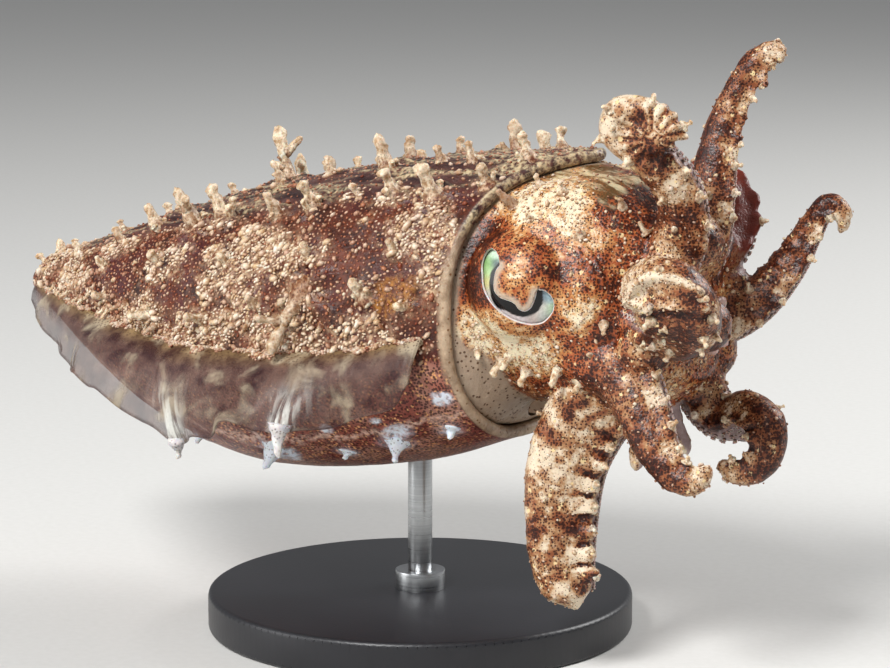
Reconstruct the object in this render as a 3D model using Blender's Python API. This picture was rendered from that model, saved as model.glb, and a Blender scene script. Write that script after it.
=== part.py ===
"""A broadclub cuttlefish as a still, life-size display model: a young animal hovering with its arms
raised and curled, held over a round base by one rod.

The animal is modelled in its own frame, X forward, Y to its left and Z up, with the centre of the neck at the origin.
At the end it is pitched nose up, and everything is moved so that the origin is the bottom centre of the whole model.
"""

import math
import random

import bmesh
import bpy
import numpy as np
from mathutils import Matrix, Vector

MM = 0.001
GAP = 0.3 * MM  # between nodes that touch
NOSE_UP = math.radians(4)

# Mantle: stations from the tail to the front rim, each x, half width, top, bottom and the height of the fin line
MANTLE_STATIONS = np.array((
    (-82.6, 1.3, 1.4, -1.3, 0.0),
    (-76.0, 5.6, 4.2, -5.4, -0.8),
    (-64.0, 12.0, 7.6, -13.4, -2.2),
    (-52.0, 17.0, 10.9, -19.4, -3.8),
    (-36.0, 20.6, 14.2, -23.4, -5.6),
    (-15.0, 20.8, 17.3, -22.0, -5.2),
    (0.0, 18.8, 18.2, -18.4, -3.0),
)) * MM
TAIL_ROUNDING = 0.8 * MM
MANTLE_SQUARENESS = 2.25  # power of the superellipse, 2 is an ellipse
MANTLE_SIDES = 26
MANTLE_RINGS = 17
RIM_THICKNESS = 1.6 * MM
POCKET_FLOOR = -7.0 * MM
TONGUE_REACH = 11.0 * MM  # how far the dorsal edge runs forward over the head
TONGUE_WIDTH = math.radians(32)
VENTRAL_NOTCH = 1.5 * MM
SIDE_NOTCH = 1.2 * MM
TONGUE_START = -20.0 * MM

# Fins
FIN_FRONT = -3.5 * MM
FIN_BACK = -80.0 * MM
FIN_WIDTH = 11.6 * MM
FIN_OUTLINE = (  # share of the length, share of the width
    (0, 0.5), (0.03, 0.66), (0.12, 0.76), (0.26, 0.98), (0.45, 1), (0.7, 0.82), (0.9, 0.5), (1, 0.2),
)
FIN_ROOM = GAP + 0.1 * MM  # from the mantle's side to the middle of the fin's root
FIN_ROOT_THICKNESS = 0.9 * MM
FIN_EDGE_THICKNESS = 0.5 * MM
FIN_DROOP = math.radians(56)
FIN_SWAY = math.radians(16)
FIN_WAVES = 2.6
FIN_LENGTH_STEPS = 27
FIN_WIDTH_STEPS = 3

# Head: stations from the neck to the crown of arms, each x, half width, height and depth
HEAD_STATIONS = np.array((
    (-6.7, 12.0, 11.0, 12.0),
    (-1.0, 13.5, 13.0, 13.0),
    (5.0, 14.6, 14.2, 13.5),
    (12.0, 14.2, 15.6, 13.6),
    (18.0, 12.2, 14.8, 13.2),
    (22.0, 9.6, 12.0, 12.4),
    (24.5, 6.6, 8.0, 10.4),
)) * MM
HEAD_SQUARENESS = 2.3
HEAD_SIDES = 26
HEAD_RINGS = 15

# Bumps on the head, mirrored to both sides: x, height of the centre, spread along x, spread round it, height
EYE_BUMP = np.array((7.4, 2.8, 5.6, 6.4, 2.8)) * MM
BROW_BUMP = np.array((9.5, 11.5, 6.0, 4.5, 1.6)) * MM
CHEEK_BUMP = np.array((16.5, 1.0, 3.6, 6.0, 1.8)) * MM

EYE_CENTRE = np.array((8.2, 12.7, 2.2)) * MM
EYE_RADIUS = 5.2 * MM
EYE_ROOM = GAP + 0.05 * MM
LID_RADIUS = 5.0 * MM
LID_THICKNESS = 0.8 * MM
LID_PLACE = 0.62  # of the eye's radius, out from its centre
LID_FACING = (0.12, 1.0, 0.06)
LID_SIDES = 16
LID_SECTION_SIDES = 6
UPPER_LID_THICKNESS = 0.65 * MM
UPPER_LID_FACING = (0.744, 0.554, 0.375)  # the middle of the fold that covers the eye's upper front
UPPER_LID_EDGE = 4.4 * MM  # from the eye's centre to the plane of the fold's edge

FUNNEL_START = np.array((-5.8, 0.0, -10.6)) * MM
FUNNEL_END = np.array((9.5, 0.0, -13.4)) * MM
FUNNEL_RADII = (4.6 * MM, 2.9 * MM)
FUNNEL_WALL = 0.9 * MM
FUNNEL_BORE_DEPTH = 9.0 * MM
FUNNEL_SIDES = 12

MOUTH = np.array((24.8, 0.0, -3.4)) * MM
MEMBRANE_RADIUS = 3.4 * MM
MEMBRANE_LAPPETS = 7
MEMBRANE_LOBE = 0.12  # how far each lappet stands out, beside the radius
MEMBRANE_PROFILE = (  # mm ahead, share of the radius
    (0, 0.82), (0.9, 0.95), (1.9, 1.0), (2.2, 0.86), (1.6, 0.7), (0.9, 0.6),
)
BEAK_RADIUS = 1.5 * MM
BEAK_NARROWNESS = 0.75
BEAK_PROFILE = ((1.25, 1.0), (1.9, 0.95), (2.6, 0.7), (3.1, 0.35))
BEAK_POINT = np.array((3.3, 0.0, -0.2)) * MM
BEAK_SIDES = 12

# Arms: each route starts inside the head. half_width and depth are at the root; cuts are places along the length.
# turn is how far the arm is twisted, in degrees, and swell is a broad place: its share of the length, spread and gain
ARM_SIDES = 10
ARM_SQUARENESS = 2.2
ARM_STEP = 2.2 * MM
ORAL_DEPTH, OUTER_DEPTH = 0.8, 1.1  # the oral face is flatter and the outer one keeled
JOIN_GAP = GAP * 0.6  # each side of the place where two lengths of an arm meet
ARMS = {
    "arm_right_1": {
        "route": ((17.0, -4.6, 1.0), (23.0, -4.6, 4.4), (26.4, -5.6, 9.8), (27.0, -8.0, 15.0),
                  (24.8, -11.0, 19.0), (22.2, -13.0, 21.4), (23.4, -14.0, 24.0), (27.6, -13.6, 23.8),
                  (31.0, -12.5, 20.8)),
        "half_width": 4.4, "depth": 4.0, "tip": 0.5, "taper": 0.75, "cuts": (0.3, 0.53, 0.8),
        "turn": 25, "swell": (0.6, 0.12, 0.25),
    },
    "arm_left_1": {
        "route": ((17.0, 4.6, 1.0), (22.8, 4.4, 5.0), (24.2, 5.5, 12.0), (24.9, 7.0, 18.6), (27.2, 8.6, 25.0),
                  (30.2, 9.4, 28.8), (32.0, 9.6, 29.4), (32.0, 9.5, 27.8)),
        "half_width": 4.0, "depth": 3.8, "tip": 0.5, "taper": 0.7, "cuts": (0.38, 0.58, 0.79),
        "turn": 75, "swell": (0.86, 0.07, 0.45),
    },
    "arm_right_2": {
        "route": ((17.0, -7.0, -1.0), (23.0, -9.0, -1.6), (28.5, -13.0, -2.4), (33.4, -17.0, -1.0), (35.2, -20.2, 2.4),
                  (32.6, -21.4, 5.2), (29.0, -20.8, 4.6), (26.8, -19.6, 1.6)),
        "half_width": 3.9, "depth": 3.7, "tip": 0.9, "taper": 0.45, "cuts": (0.24, 0.6),
    },
    "arm_left_2": {
        "route": ((16.0, 7.6, 1.5), (21.5, 9.6, 3.0), (22.6, 13.2, 6.0), (20.8, 16.2, 10.0), (17.4, 17.6, 12.6),
                  (13.6, 18.4, 12.0), (11.8, 19.0, 9.2), (13.6, 19.4, 7.0)),
        "half_width": 3.8, "depth": 3.6, "tip": 0.6, "taper": 0.65, "cuts": (0.29, 0.62), "turn": 60,
    },
    "arm_right_3": {
        "route": ((14.0, -7.6, -5.0), (19.4, -9.4, -8.0), (22.8, -10.8, -12.6), (25.0, -12.0, -16.6),
                  (27.4, -12.6, -19.6), (30.0, -12.6, -20.6), (31.8, -12.4, -18.8)),
        "half_width": 4.3, "depth": 4.9, "tip": 0.7, "taper": 0.7, "cuts": (0.33, 0.66),
    },
    "arm_left_3": {
        "route": ((15.0, 7.4, -4.0), (21.4, 9.2, -4.6), (26.0, 11.4, -2.6), (29.8, 13.8, 1.8), (32.4, 15.2, 6.4),
                  (34.6, 15.8, 9.6), (36.6, 16.0, 8.6), (36.0, 16.2, 6.2)),
        "half_width": 4.2, "depth": 3.9, "tip": 0.5, "taper": 0.75, "cuts": (0.28, 0.6), "turn": 105,
    },
    "arm_right_4": {
        "route": ((17.0, -4.8, -5.0), (15.6, -5.4, -10.4), (12.0, -6.6, -15.4), (10.0, -8.2, -20.6),
                  (9.4, -9.2, -27.0), (9.6, -9.8, -32.6), (10.6, -10.0, -36.8)),
        "half_width": 3.6, "depth": 6.2, "tip": 2.0, "taper": 0.34, "cuts": (0.36, 0.68), "turn": -15,
    },
    "arm_left_4": {
        "route": ((15.0, 4.6, -5.6), (19.6, 5.4, -10.4), (21.2, 6.2, -14.6), (24.0, 6.4, -16.8), (27.6, 5.6, -15.4),
                  (30.8, 4.4, -17.0), (30.6, 3.4, -20.8), (27.4, 3.0, -22.4), (24.8, 3.2, -21.4)),
        "half_width": 3.7, "depth": 3.8, "tip": 0.7, "taper": 0.55, "cuts": (0.28, 0.62), "turn": -85,
    },
}

TENTACLES = {
    "tentacle_right": ((15.0, -3.4, -8.0), (18.6, -3.4, -12.6), (18.0, -4.0, -17.0), (17.2, -4.6, -21.0)),
    "tentacle_left": ((15.0, 2.6, -8.0), (18.4, 1.0, -12.6), (20.2, 0.2, -16.4), (21.6, 0.4, -19.6)),
}
TENTACLE_SIZES = {"half_width": 1.7, "depth": 1.7, "tip": 0.7, "taper": 0.4}
TENTACLE_STUB = 0.62  # share of the length that is fused to the head

# Papillae: rows on the mantle, each the side of the body, the angle round it and the places and heights along it
PAPILLA_ROWS = (
    ("right", 104, ((-76.5, 2.2), (-64, 1.8), (-52, 2.4), (-34, 2.0), (-26.4, 2.2), (-16.9, 4.6), (-11.2, 2.6),
                    (-8.0, 3.0), (-2.6, 3.4))),
    ("left", 78, ((-76.5, 2.0), (-60, 2.2), (-49, 2.2), (-40.4, 7.8), (-30, 2.2), (-19.9, 3.2), (-14, 2.4),
                  (-9.2, 4.6), (-4.6, 3.2))),
    ("both", 126, ((-78.5, 2.0), (-69, 1.8), (-59, 2.4), (-52, 3.8), (-42.8, 6.4), (-38.2, 5.2), (-28.7, 3.8),
                   (-23.4, 3.8), (-17.2, 1.9), (-12.5, 3.4), (-6.6, 5.0), (-2.0, 2.8))),
    ("both", 148, ((-60, 1.9), (-47, 2.6), (-34, 2.2), (-20.7, 2.2), (-8, 2.0))),
    ("both", 168, ((-58, 2.2), (-47.6, 2.8), (-36.6, 3.4), (-28, 2.2), (-11.5, 2.8), (-5, 1.8))),
    ("both", 228, ((-45, 1.8), (-30.6, 4.2), (-20, 1.4), (-11.5, 3.6), (-3.4, 1.6))),
)
LONG_PAPILLA = (-20.9, 163, 8.4)  # the branched one that hangs over the fin on each side
LONG_PAPILLA_LEAN = (-0.42, 0.6, -0.78)
PAPILLA_SCATTER = 1.0 * MM
PAPILLA_SWING = math.radians(4)
PAPILLA_LEAN_BACK = 0.22
PAPILLA_LEAN_UP = 0.6
PAPILLA_LEAN_DOWN = 0.5
PAPILLA_BEND = 0.14  # of the height
PAPILLA_RADIUS = 0.3 * MM
PAPILLA_RADIUS_GROWTH = 0.13  # of the height
PAPILLA_PROFILE = ((-0.3, 1.6), (0.12, 1.2), (0.8, 0.85), (1.0, 0.45))  # shares of the height and of the radius
SMALL_PROFILE = ((-0.4, 1.7), (0.45, 1.0), (1.0, 0.5))
PAPILLA_POINT = 0.35  # of the radius, beyond the last ring
SMALL_HEIGHT = 2.5 * MM
PAPILLA_SIDES = 5
BRANCH_HEIGHT = 6.0 * MM  # papillae taller than this have a side branch
BRANCH_SHARE = 0.42  # its height beside the whole papilla's
FIN_PAPILLAE = ((0.21, 3.4), (0.48, 2.4))  # share of the fin's length, height
HEAD_PAPILLAE = (  # x, angle and height, on both sides
    (5.2, 130, 2.6), (7.5, 116, 1.4), (12.0, 128, 1.6), (19.0, 128, 1.4),
    (3.5, 208, 1.3), (7.0, 214, 1.5), (11.5, 212, 2.0), (18.5, 186, 1.4),
)
ARM_PAPILLA_GAP = 6.2 * MM
ARM_PAPILLA_HEIGHT = 1.7 * MM
ARM_PAPILLA_TURN = 48  # degrees from the middle of the arm's outer side
SEED = 7

# Suckers
SUCKER_SHARE = 0.22  # radius beside the arm's half width there
SUCKER_LEAST = 0.5 * MM
SUCKER_HEIGHT = 0.75  # of the radius
SUCKER_PITCH = 3.8  # of the radius
SUCKER_MARGIN = 1.8  # of the radius, from a sucker to the end of its length of arm
SUCKER_ROW_ANGLE = math.radians(34)
SUCKER_SIDES = 5
SUCKER_DISH = 0.35  # height of the cup's middle beside its rim

# Stand
BASE_RADIUS = 28.0 * MM
BASE_HEIGHT = 5.0 * MM
BASE_TOP = -41.0 * MM  # below the neck
ROD_RADIUS = 1.6 * MM
ROD_PLACE = -17.0 * MM  # ahead of the neck, before the pitch
ROD_SIDES = 16
BASE_SIDES = 56

COLOURS = {
    "mantle": ("6B3A28", 0.45),
    "fin": ("A79E78", 0.4),
    "head": ("9A6A48", 0.45),
    "arm": ("8F6A50", 0.45),
    "funnel": ("C9B49A", 0.45),
    "mouth": ("D8C2B4", 0.4),
    "beak": ("2A1B14", 0.3),
    "eye": ("31422F", 0.12),
    "tentacle": ("B7A6B0", 0.4),
    "stand_base": ("1E1E20", 0.35),
    "stand_rod": ("B9BBBD", 0.25),
}


def clear_scene():
    for old in list(bpy.data.objects):
        bpy.data.objects.remove(old, do_unlink=True)


def unit(vector):
    return vector / np.linalg.norm(vector)


def smooth(points, count):
    """That many points, evenly spaced along a Catmull-Rom curve through the given ones."""
    given = np.asarray(points, float)
    given = np.vstack([2 * given[0] - given[1], given, 2 * given[-1] - given[-2]])
    part_way = np.linspace(0, 1, 24, endpoint=False)[:, None]
    spans = []
    for before, start, end, after in zip(given, given[1:], given[2:], given[3:]):
        rise = (end - before) * part_way
        bend = (2 * before - 5 * start + 4 * end - after) * part_way**2
        turn = (3 * start - before - 3 * end + after) * part_way**3
        spans.append(start + 0.5 * (rise + bend + turn))
    dense = np.vstack([*spans, given[-2:-1]])
    steps = np.linalg.norm(np.diff(dense, axis=0), axis=1)
    travelled = np.concatenate([[0], np.cumsum(steps)])
    even = np.linspace(0, travelled[-1], count)
    return np.column_stack([np.interp(even, travelled, column) for column in dense.T])


def rounded(wave, squareness):
    """A cosine or sine pushed out towards a rounded square."""
    return np.sign(wave) * np.abs(wave) ** (2 / squareness)


def angles_round(sides):
    return np.arange(sides) * 2 * math.pi / sides


def mesh_object(name, shape):
    """An object from a closed bmesh, with its faces turned outwards."""
    bmesh.ops.recalc_face_normals(shape, faces=shape.faces)
    mesh = bpy.data.meshes.new(name)
    shape.to_mesh(mesh)
    shape.free()
    return bpy.data.objects.new(name, mesh)


def add_band(shape, low, high):
    """Faces between two closed rows of equally many vertices."""
    for index, vertex in enumerate(low):
        after = (index + 1) % len(low)
        shape.faces.new((vertex, low[after], high[after], high[index]))


def loft(name, rings, start_point=None, end_point=None):
    """A closed mesh object through rings of equally many points. An end without a point of its own is capped flat."""
    shape = bmesh.new()
    rows = [[shape.verts.new(point) for point in ring] for ring in rings]
    for low, high in zip(rows, rows[1:]):
        add_band(shape, low, high)
    for row, point in ((rows[0], start_point), (rows[-1], end_point)):
        if point is None:
            shape.faces.new(row)
            continue
        apex = shape.verts.new(point)
        for index, vertex in enumerate(row):
            shape.faces.new((vertex, row[(index + 1) % len(row)], apex))
    return mesh_object(name, shape)


def ball(name, centre, radii, segments=16, rings=10):
    """A closed ball or egg as a mesh object."""
    shape = bmesh.new()
    bmesh.ops.create_uvsphere(shape, u_segments=segments, v_segments=rings, radius=1)
    bmesh.ops.transform(shape, matrix=Matrix.Diagonal((*radii, 1)), verts=shape.verts)
    bmesh.ops.translate(shape, vec=Vector(centre), verts=shape.verts)
    return mesh_object(name, shape)


def keep_largest(mesh):
    """Leaves only the largest closed surface of a mesh."""
    shape = bmesh.new()
    shape.from_mesh(mesh)
    bmesh.ops.remove_doubles(shape, verts=shape.verts, dist=0.00001)
    bmesh.ops.dissolve_degenerate(shape, edges=shape.edges, dist=0.00001)
    left = set(shape.faces)
    surfaces = []
    while left:
        surface = {left.pop()}
        front = list(surface)
        while front:
            face = front.pop()
            for edge in face.edges:
                for other in edge.link_faces:
                    if other in left:
                        left.remove(other)
                        surface.add(other)
                        front.append(other)
        surfaces.append(surface)
    largest = max(surfaces, key=lambda surface: sum(face.calc_area() for face in surface))
    scraps = [face for surface in surfaces if surface is not largest for face in surface]
    bmesh.ops.delete(shape, geom=scraps, context="FACES")
    shape.to_mesh(mesh)
    shape.free()


def combine(node, pieces, operation, solver="EXACT"):
    """Joins the pieces to the node's mesh, or cuts them from it, and removes them."""
    group = bpy.data.collections.new("pieces")
    bpy.context.scene.collection.children.link(group)
    for piece in pieces:
        group.objects.link(piece)
    bpy.context.scene.collection.objects.link(node)
    modifier = node.modifiers.new(operation.lower(), "BOOLEAN")
    modifier.operation = operation
    modifier.operand_type = "COLLECTION"
    modifier.collection = group
    modifier.solver = solver
    bpy.context.view_layer.update()
    graph = bpy.context.evaluated_depsgraph_get()
    result = bpy.data.meshes.new_from_object(node.evaluated_get(graph))
    node.modifiers.clear()
    node.data = result
    bpy.context.scene.collection.objects.unlink(node)
    for piece in pieces:
        bpy.data.objects.remove(piece, do_unlink=True)
    bpy.data.collections.remove(group)
    keep_largest(node.data)
    return node


# Papillae and suckers


def crossways(direction):
    """Two unit vectors square to a direction and to each other."""
    start = np.array((0.0, 0.0, 1.0)) if abs(direction[2]) < 0.8 else np.array((1.0, 0.0, 0.0))
    first = unit(np.cross(start, direction))
    return first, np.cross(direction, first)


def papilla(spot, direction, height, draw):
    """One soft finger of skin, or two where it is tall, with its root sunk under the spot."""
    direction = unit(direction)
    first, second = crossways(direction)
    radius = PAPILLA_RADIUS + PAPILLA_RADIUS_GROWTH * height
    bend = (first * draw.uniform(-1, 1) + second * draw.uniform(-1, 1)) * PAPILLA_BEND * height
    turn = draw.uniform(0, math.pi)
    angles = angles_round(PAPILLA_SIDES)[:, None] + turn
    round_it = np.cos(angles) * first + np.sin(angles) * second
    rings = []
    for share, wide in SMALL_PROFILE if height < SMALL_HEIGHT else PAPILLA_PROFILE:
        centre = spot + direction * height * share + bend * share**2
        rings.append(centre + round_it * radius * wide)
    tip = spot + direction * (height + radius * PAPILLA_POINT) + bend
    pieces = [loft("papilla", rings, end_point=tip)]
    if height > BRANCH_HEIGHT:
        side = unit(first * math.cos(turn) + second * math.sin(turn))
        pieces += papilla(spot + direction * height / 2, direction * 0.7 + side, height * BRANCH_SHARE, draw)
    return pieces


def sucker(spot, outward, along, radius):
    """A low dished cup with its root sunk under the spot."""
    across = np.cross(outward, along)
    angles = angles_round(SUCKER_SIDES)[:, None]
    round_it = np.cos(angles) * along + np.sin(angles) * across
    height = SUCKER_HEIGHT * radius
    rings = [spot + outward * lift + round_it * radius * wide for lift, wide in ((-height, 0.8), (height, 1.0))]
    return loft("sucker", rings, end_point=spot + outward * height * SUCKER_DISH)


# Mantle


MANTLE_CURVE = smooth(MANTLE_STATIONS, 240)


def mantle_size(x):
    """Half width, top, bottom and fin line of the mantle at x."""
    return [np.interp(x, MANTLE_CURVE[:, 0], MANTLE_CURVE[:, column]) for column in (1, 2, 3, 4)]


def rim_shift(angle):
    """How far forward the rim lies at an angle round the body, where 90 degrees is the back's midline."""
    from_top = np.abs((angle - math.pi / 2 + math.pi) % (2 * math.pi) - math.pi)
    tongue = TONGUE_REACH * np.exp(-((from_top / TONGUE_WIDTH) ** 1.5))
    notch = VENTRAL_NOTCH * np.exp(-(((math.pi - from_top) / TONGUE_WIDTH) ** 2))
    return tongue - notch - SIDE_NOTCH * np.sin(from_top) ** 2


def mantle_points(x, angle, inset=0.0):
    """Points on the mantle's outer surface, or that far inside it."""
    width, top, bottom, line = mantle_size(x)
    across = rounded(np.cos(angle), MANTLE_SQUARENESS)
    upward = rounded(np.sin(angle), MANTLE_SQUARENESS)
    reach = np.where(upward > 0, top - line, line - bottom) - inset
    share = np.clip((x - TONGUE_START) / -TONGUE_START, 0, 1)
    ahead = share**2 * (3 - 2 * share) * rim_shift(angle)
    return np.column_stack([x + ahead, (width - inset) * across, line + reach * upward])


def outward_of(points_at, x, angle):
    """The surface's outward direction at a place, where points_at gives the surface."""
    step = 0.01
    here, round_it = points_at(x, np.array((angle, angle + step)))
    ahead = points_at(x + step * MM, np.array((angle,)))[0]
    return unit(np.cross(round_it - here, ahead - here))


def mantle_papillae():
    """The rows of papillae. The left side's copy of a row that is on both sides is scattered a little."""
    draw = random.Random(SEED)
    pieces = []
    for side_name, degrees, spots in PAPILLA_ROWS:
        for mirrored in (False, True) if side_name == "both" else (False,):
            for x, height in spots:
                angle = math.radians(180 - degrees if mirrored else degrees) + PAPILLA_SWING * draw.uniform(-1, 1)
                x = x * MM + PAPILLA_SCATTER * draw.uniform(-1, 1) * mirrored
                height = height * MM * draw.uniform(0.92, 1.08)
                spot = mantle_points(x, np.array((angle,)))[0]
                outward = outward_of(mantle_points, x, angle)
                rise = PAPILLA_LEAN_UP if outward[2] > 0.2 else -PAPILLA_LEAN_DOWN if outward[2] < -0.2 else 0
                pieces += papilla(spot, outward + (-PAPILLA_LEAN_BACK, 0, rise), height, draw)
    x, degrees, height = LONG_PAPILLA
    for side in (-1, 1):
        angle = math.radians(degrees if side < 0 else 180 - degrees)
        spot = mantle_points(x * MM, np.array((angle,)))[0]
        pieces += papilla(spot, np.array(LONG_PAPILLA_LEAN) * (1, side, 1), height * MM, draw)
    return pieces


def make_mantle():
    angles = angles_round(MANTLE_SIDES)
    rings = [mantle_points(x, angles) for x in smooth(MANTLE_STATIONS, MANTLE_RINGS)[:, 0]]
    edge = mantle_points(0.0, angles, RIM_THICKNESS / 2)
    rings.append(edge + (RIM_THICKNESS / 3, 0, 0))
    inner = mantle_points(0.0, angles, RIM_THICKNESS)
    for share in (0, 0.35, 0.7, 1):
        ring = inner.copy()
        ring[:, 0] = inner[:, 0] * (1 - share) + POCKET_FLOOR * share
        rings.append(ring)
    tail = rings[0].mean(axis=0) - (TAIL_ROUNDING, 0, 0)
    return combine(loft("mantle", rings, start_point=tail), mantle_papillae(), "UNION")


def fin_middle(side):
    """The fin's middle surface, as rows of points from root to edge, and its thickness at each."""
    across = np.linspace(0, 1, FIN_WIDTH_STEPS + 1)
    rows = []
    for share in np.linspace(0, 1, FIN_LENGTH_STEPS + 1):
        x = FIN_FRONT + (FIN_BACK - FIN_FRONT) * share
        width = FIN_WIDTH * np.interp(share, *zip(*FIN_OUTLINE))
        sway = math.sin(FIN_WAVES * 2 * math.pi * share)
        half_width, _, _, line = mantle_size(x)
        droop = FIN_DROOP * across**0.5 + FIN_SWAY * sway * across
        outwards = side * (half_width + FIN_ROOM + width * across * np.cos(droop))
        rows.append(np.column_stack([np.full(len(across), x), outwards, line - width * across * np.sin(droop)]))
    thickness = FIN_ROOT_THICKNESS + (FIN_EDGE_THICKNESS - FIN_ROOT_THICKNESS) * across
    return np.array(rows), thickness


def make_fin(name, side):
    """A thin wavy sheet along the mantle's side, split into triangles alike on both faces."""
    middle, thickness = fin_middle(side)
    normal = np.cross(np.gradient(middle, axis=0), np.gradient(middle, axis=1))
    normal /= np.linalg.norm(normal, axis=2)[:, :, None]
    normal[:, 0] = (0, 0, np.sign(normal[0, 0, 2]))  # keeps the root off the mantle's side
    offset = normal * thickness[:, None] / 2
    shape = bmesh.new()
    top, under = [
        [[shape.verts.new(point) for point in row] for row in middle + sign * offset] for sign in (1, -1)
    ]
    rows, columns = middle.shape[:2]
    for near, far in (*zip(top, top[1:]), *zip(under, under[1:])):
        for column in range(columns - 1):
            shape.faces.new((near[column], far[column], near[column + 1]))
            shape.faces.new((far[column], far[column + 1], near[column + 1]))
    border = [(row, 0) for row in range(rows)]
    border += [(rows - 1, column) for column in range(1, columns)]
    border += [(row, columns - 1) for row in range(rows - 2, -1, -1)]
    border += [(0, column) for column in range(columns - 2, 0, -1)]
    for here, after in zip(border, border[1:] + border[:1]):
        (row, column), (next_row, next_column) = here, after
        shape.faces.new((top[row][column], top[next_row][next_column], under[next_row][next_column]))
        shape.faces.new((top[row][column], under[next_row][next_column], under[row][column]))
    draw = random.Random(SEED + side)
    pieces = []
    for share, height in FIN_PAPILLAE:
        row = int(share * FIN_LENGTH_STEPS)
        edge, inside = middle[row, -1], middle[row, -2]
        pieces += papilla(edge, unit(edge - inside) + (-0.1, 0, -0.5), height * MM, draw)
    return combine(mesh_object(name, shape), pieces, "UNION")


# Arms


def travel_frames(path, first_oral, turn):
    """Unit vectors along the path, towards the arm's oral side and to the side, carried along without twisting
    from a start that is turned by some degrees."""
    along = np.gradient(path, axis=0)
    along /= np.linalg.norm(along, axis=1)[:, None]
    oral = np.empty_like(path)
    oral[0] = unit(first_oral - along[0] * (first_oral @ along[0]))
    for index in range(1, len(path)):
        carried = oral[index - 1] - along[index] * (oral[index - 1] @ along[index])
        oral[index] = unit(carried)
    side = np.cross(along, oral)
    turn = math.radians(turn)
    oral, side = oral * math.cos(turn) + side * math.sin(turn), side * math.cos(turn) - oral * math.sin(turn)
    return along, oral, side


class Limb:
    """An arm or tentacle: its smooth path, its frames and its tapering section."""

    def __init__(self, route, half_width, depth, tip, taper, cuts=(TENTACLE_STUB,), turn=0, swell=(0.5, 0.1, 0)):
        self.points = smooth(np.array(route) * MM, 160)
        self.length = np.linalg.norm(np.diff(self.points, axis=0), axis=1).sum()
        self.along, self.oral, self.side = travel_frames(self.points, MOUTH - self.points[0], turn)
        self.half_width, self.depth, self.tip, self.taper = half_width * MM, depth * MM, tip * MM, taper
        self.cuts = cuts
        self.swell = swell

    def at(self, table, share):
        place = share * (len(self.points) - 1)
        return np.array([np.interp(place, np.arange(len(self.points)), column) for column in table.T])

    def size(self, share):
        """Half width and half depth at a share of the length."""
        middle, spread, gain = self.swell
        narrowing = max(1 - share, 0) ** self.taper * (1 + gain * math.exp(-(((share - middle) / spread) ** 2)))
        return [self.tip + (root - self.tip) * narrowing for root in (self.half_width, self.depth)]

    def ring(self, share, inflate=0.0):
        centre, oral, side = (self.at(table, share) for table in (self.points, self.oral, self.side))
        width, depth = self.size(share)
        angles = angles_round(ARM_SIDES)
        towards_oral = np.cos(angles)
        deep = np.where(towards_oral > 0, ORAL_DEPTH, OUTER_DEPTH) * (depth + inflate)
        out = rounded(towards_oral, ARM_SQUARENESS)[:, None] * deep[:, None] * oral
        return centre + out + rounded(np.sin(angles), ARM_SQUARENESS)[:, None] * (width + inflate) * side

    def solid(self, name, start, end, inflate=0.0):
        """The limb between two shares of its length. It ends in a rounded point where it is the limb's end."""
        count = max(int(round((end - start) * self.length / ARM_STEP)), 2) + 1
        shares = np.linspace(start, end, count)
        rings = [self.ring(share, inflate) for share in shares]
        point = None
        if end >= 1:
            point = self.points[-1] + self.along[-1] * (self.tip + inflate) * 0.8
        return loft(name, rings, end_point=point)

    def surface(self, share, angle):
        """A point on the skin at an angle from the oral side, and the outward direction there."""
        centre, oral, side = (self.at(table, share) for table in (self.points, self.oral, self.side))
        width, depth = self.size(share)
        towards_oral, sideways = math.cos(angle), math.sin(angle)
        deep = (ORAL_DEPTH if towards_oral > 0 else OUTER_DEPTH) * depth
        out = rounded(towards_oral, ARM_SQUARENESS) * deep * oral + rounded(sideways, ARM_SQUARENESS) * width * side
        return centre + out, unit(oral * towards_oral / deep + side * sideways / width)

    def suckers(self, start, end):
        """Two rows of suckers on the oral side, as far as they stand clear of both ends."""
        pieces = []
        share = start
        while True:
            radius = max(SUCKER_SHARE * self.size(share)[0], SUCKER_LEAST)
            share += radius * SUCKER_PITCH / 2 / self.length
            if share > end - radius * SUCKER_MARGIN / self.length:
                return pieces
            if share < start + radius * SUCKER_MARGIN / self.length:
                continue
            along = unit(self.at(self.along, share))
            row = 1 if len(pieces) % 2 else -1
            spot, outward = self.surface(share, row * SUCKER_ROW_ANGLE)
            pieces.append(sucker(spot, outward, unit(along - outward * (along @ outward)), radius))

    def papillae(self, start, end, draw):
        """Small papillae in turn on the two outer edges."""
        pieces = []
        steps = int((end - start) * self.length / ARM_PAPILLA_GAP)
        for index in range(steps):
            share = start + (end - start) * (index + 0.5) / steps
            row = ARM_PAPILLA_TURN if index % 2 else -ARM_PAPILLA_TURN
            turn = math.radians(180 + row + draw.uniform(-14, 14))
            spot, outward = self.surface(share, turn)
            height = ARM_PAPILLA_HEIGHT * draw.uniform(0.75, 1.2) * min(1, 0.45 + self.size(share)[0] / (4 * MM))
            pieces += papilla(spot, outward + self.at(self.along, share) * 0.2, height, draw)
        return pieces


def make_arm_lengths(name, limb):
    """The lengths of one arm beyond its stub on the head, with the gap between them."""
    half_gap = JOIN_GAP / limb.length
    draw = random.Random(name)
    ends = (*limb.cuts[1:], 1.0)
    labels = ("root", "middle", "tip") if len(ends) == 3 else ("root", "tip")
    nodes = []
    for label, start, end in zip(labels, limb.cuts, ends):
        end = end if end >= 1 else end - half_gap
        start += half_gap
        skin = limb.solid(f"{name}_{label}", start, end)
        forms = limb.suckers(start, end) + limb.papillae(start, end, draw)
        nodes.append(combine(skin, forms, "UNION", solver="MANIFOLD"))
    return nodes


# Head


HEAD_CURVE = smooth(HEAD_STATIONS, 120)


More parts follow.
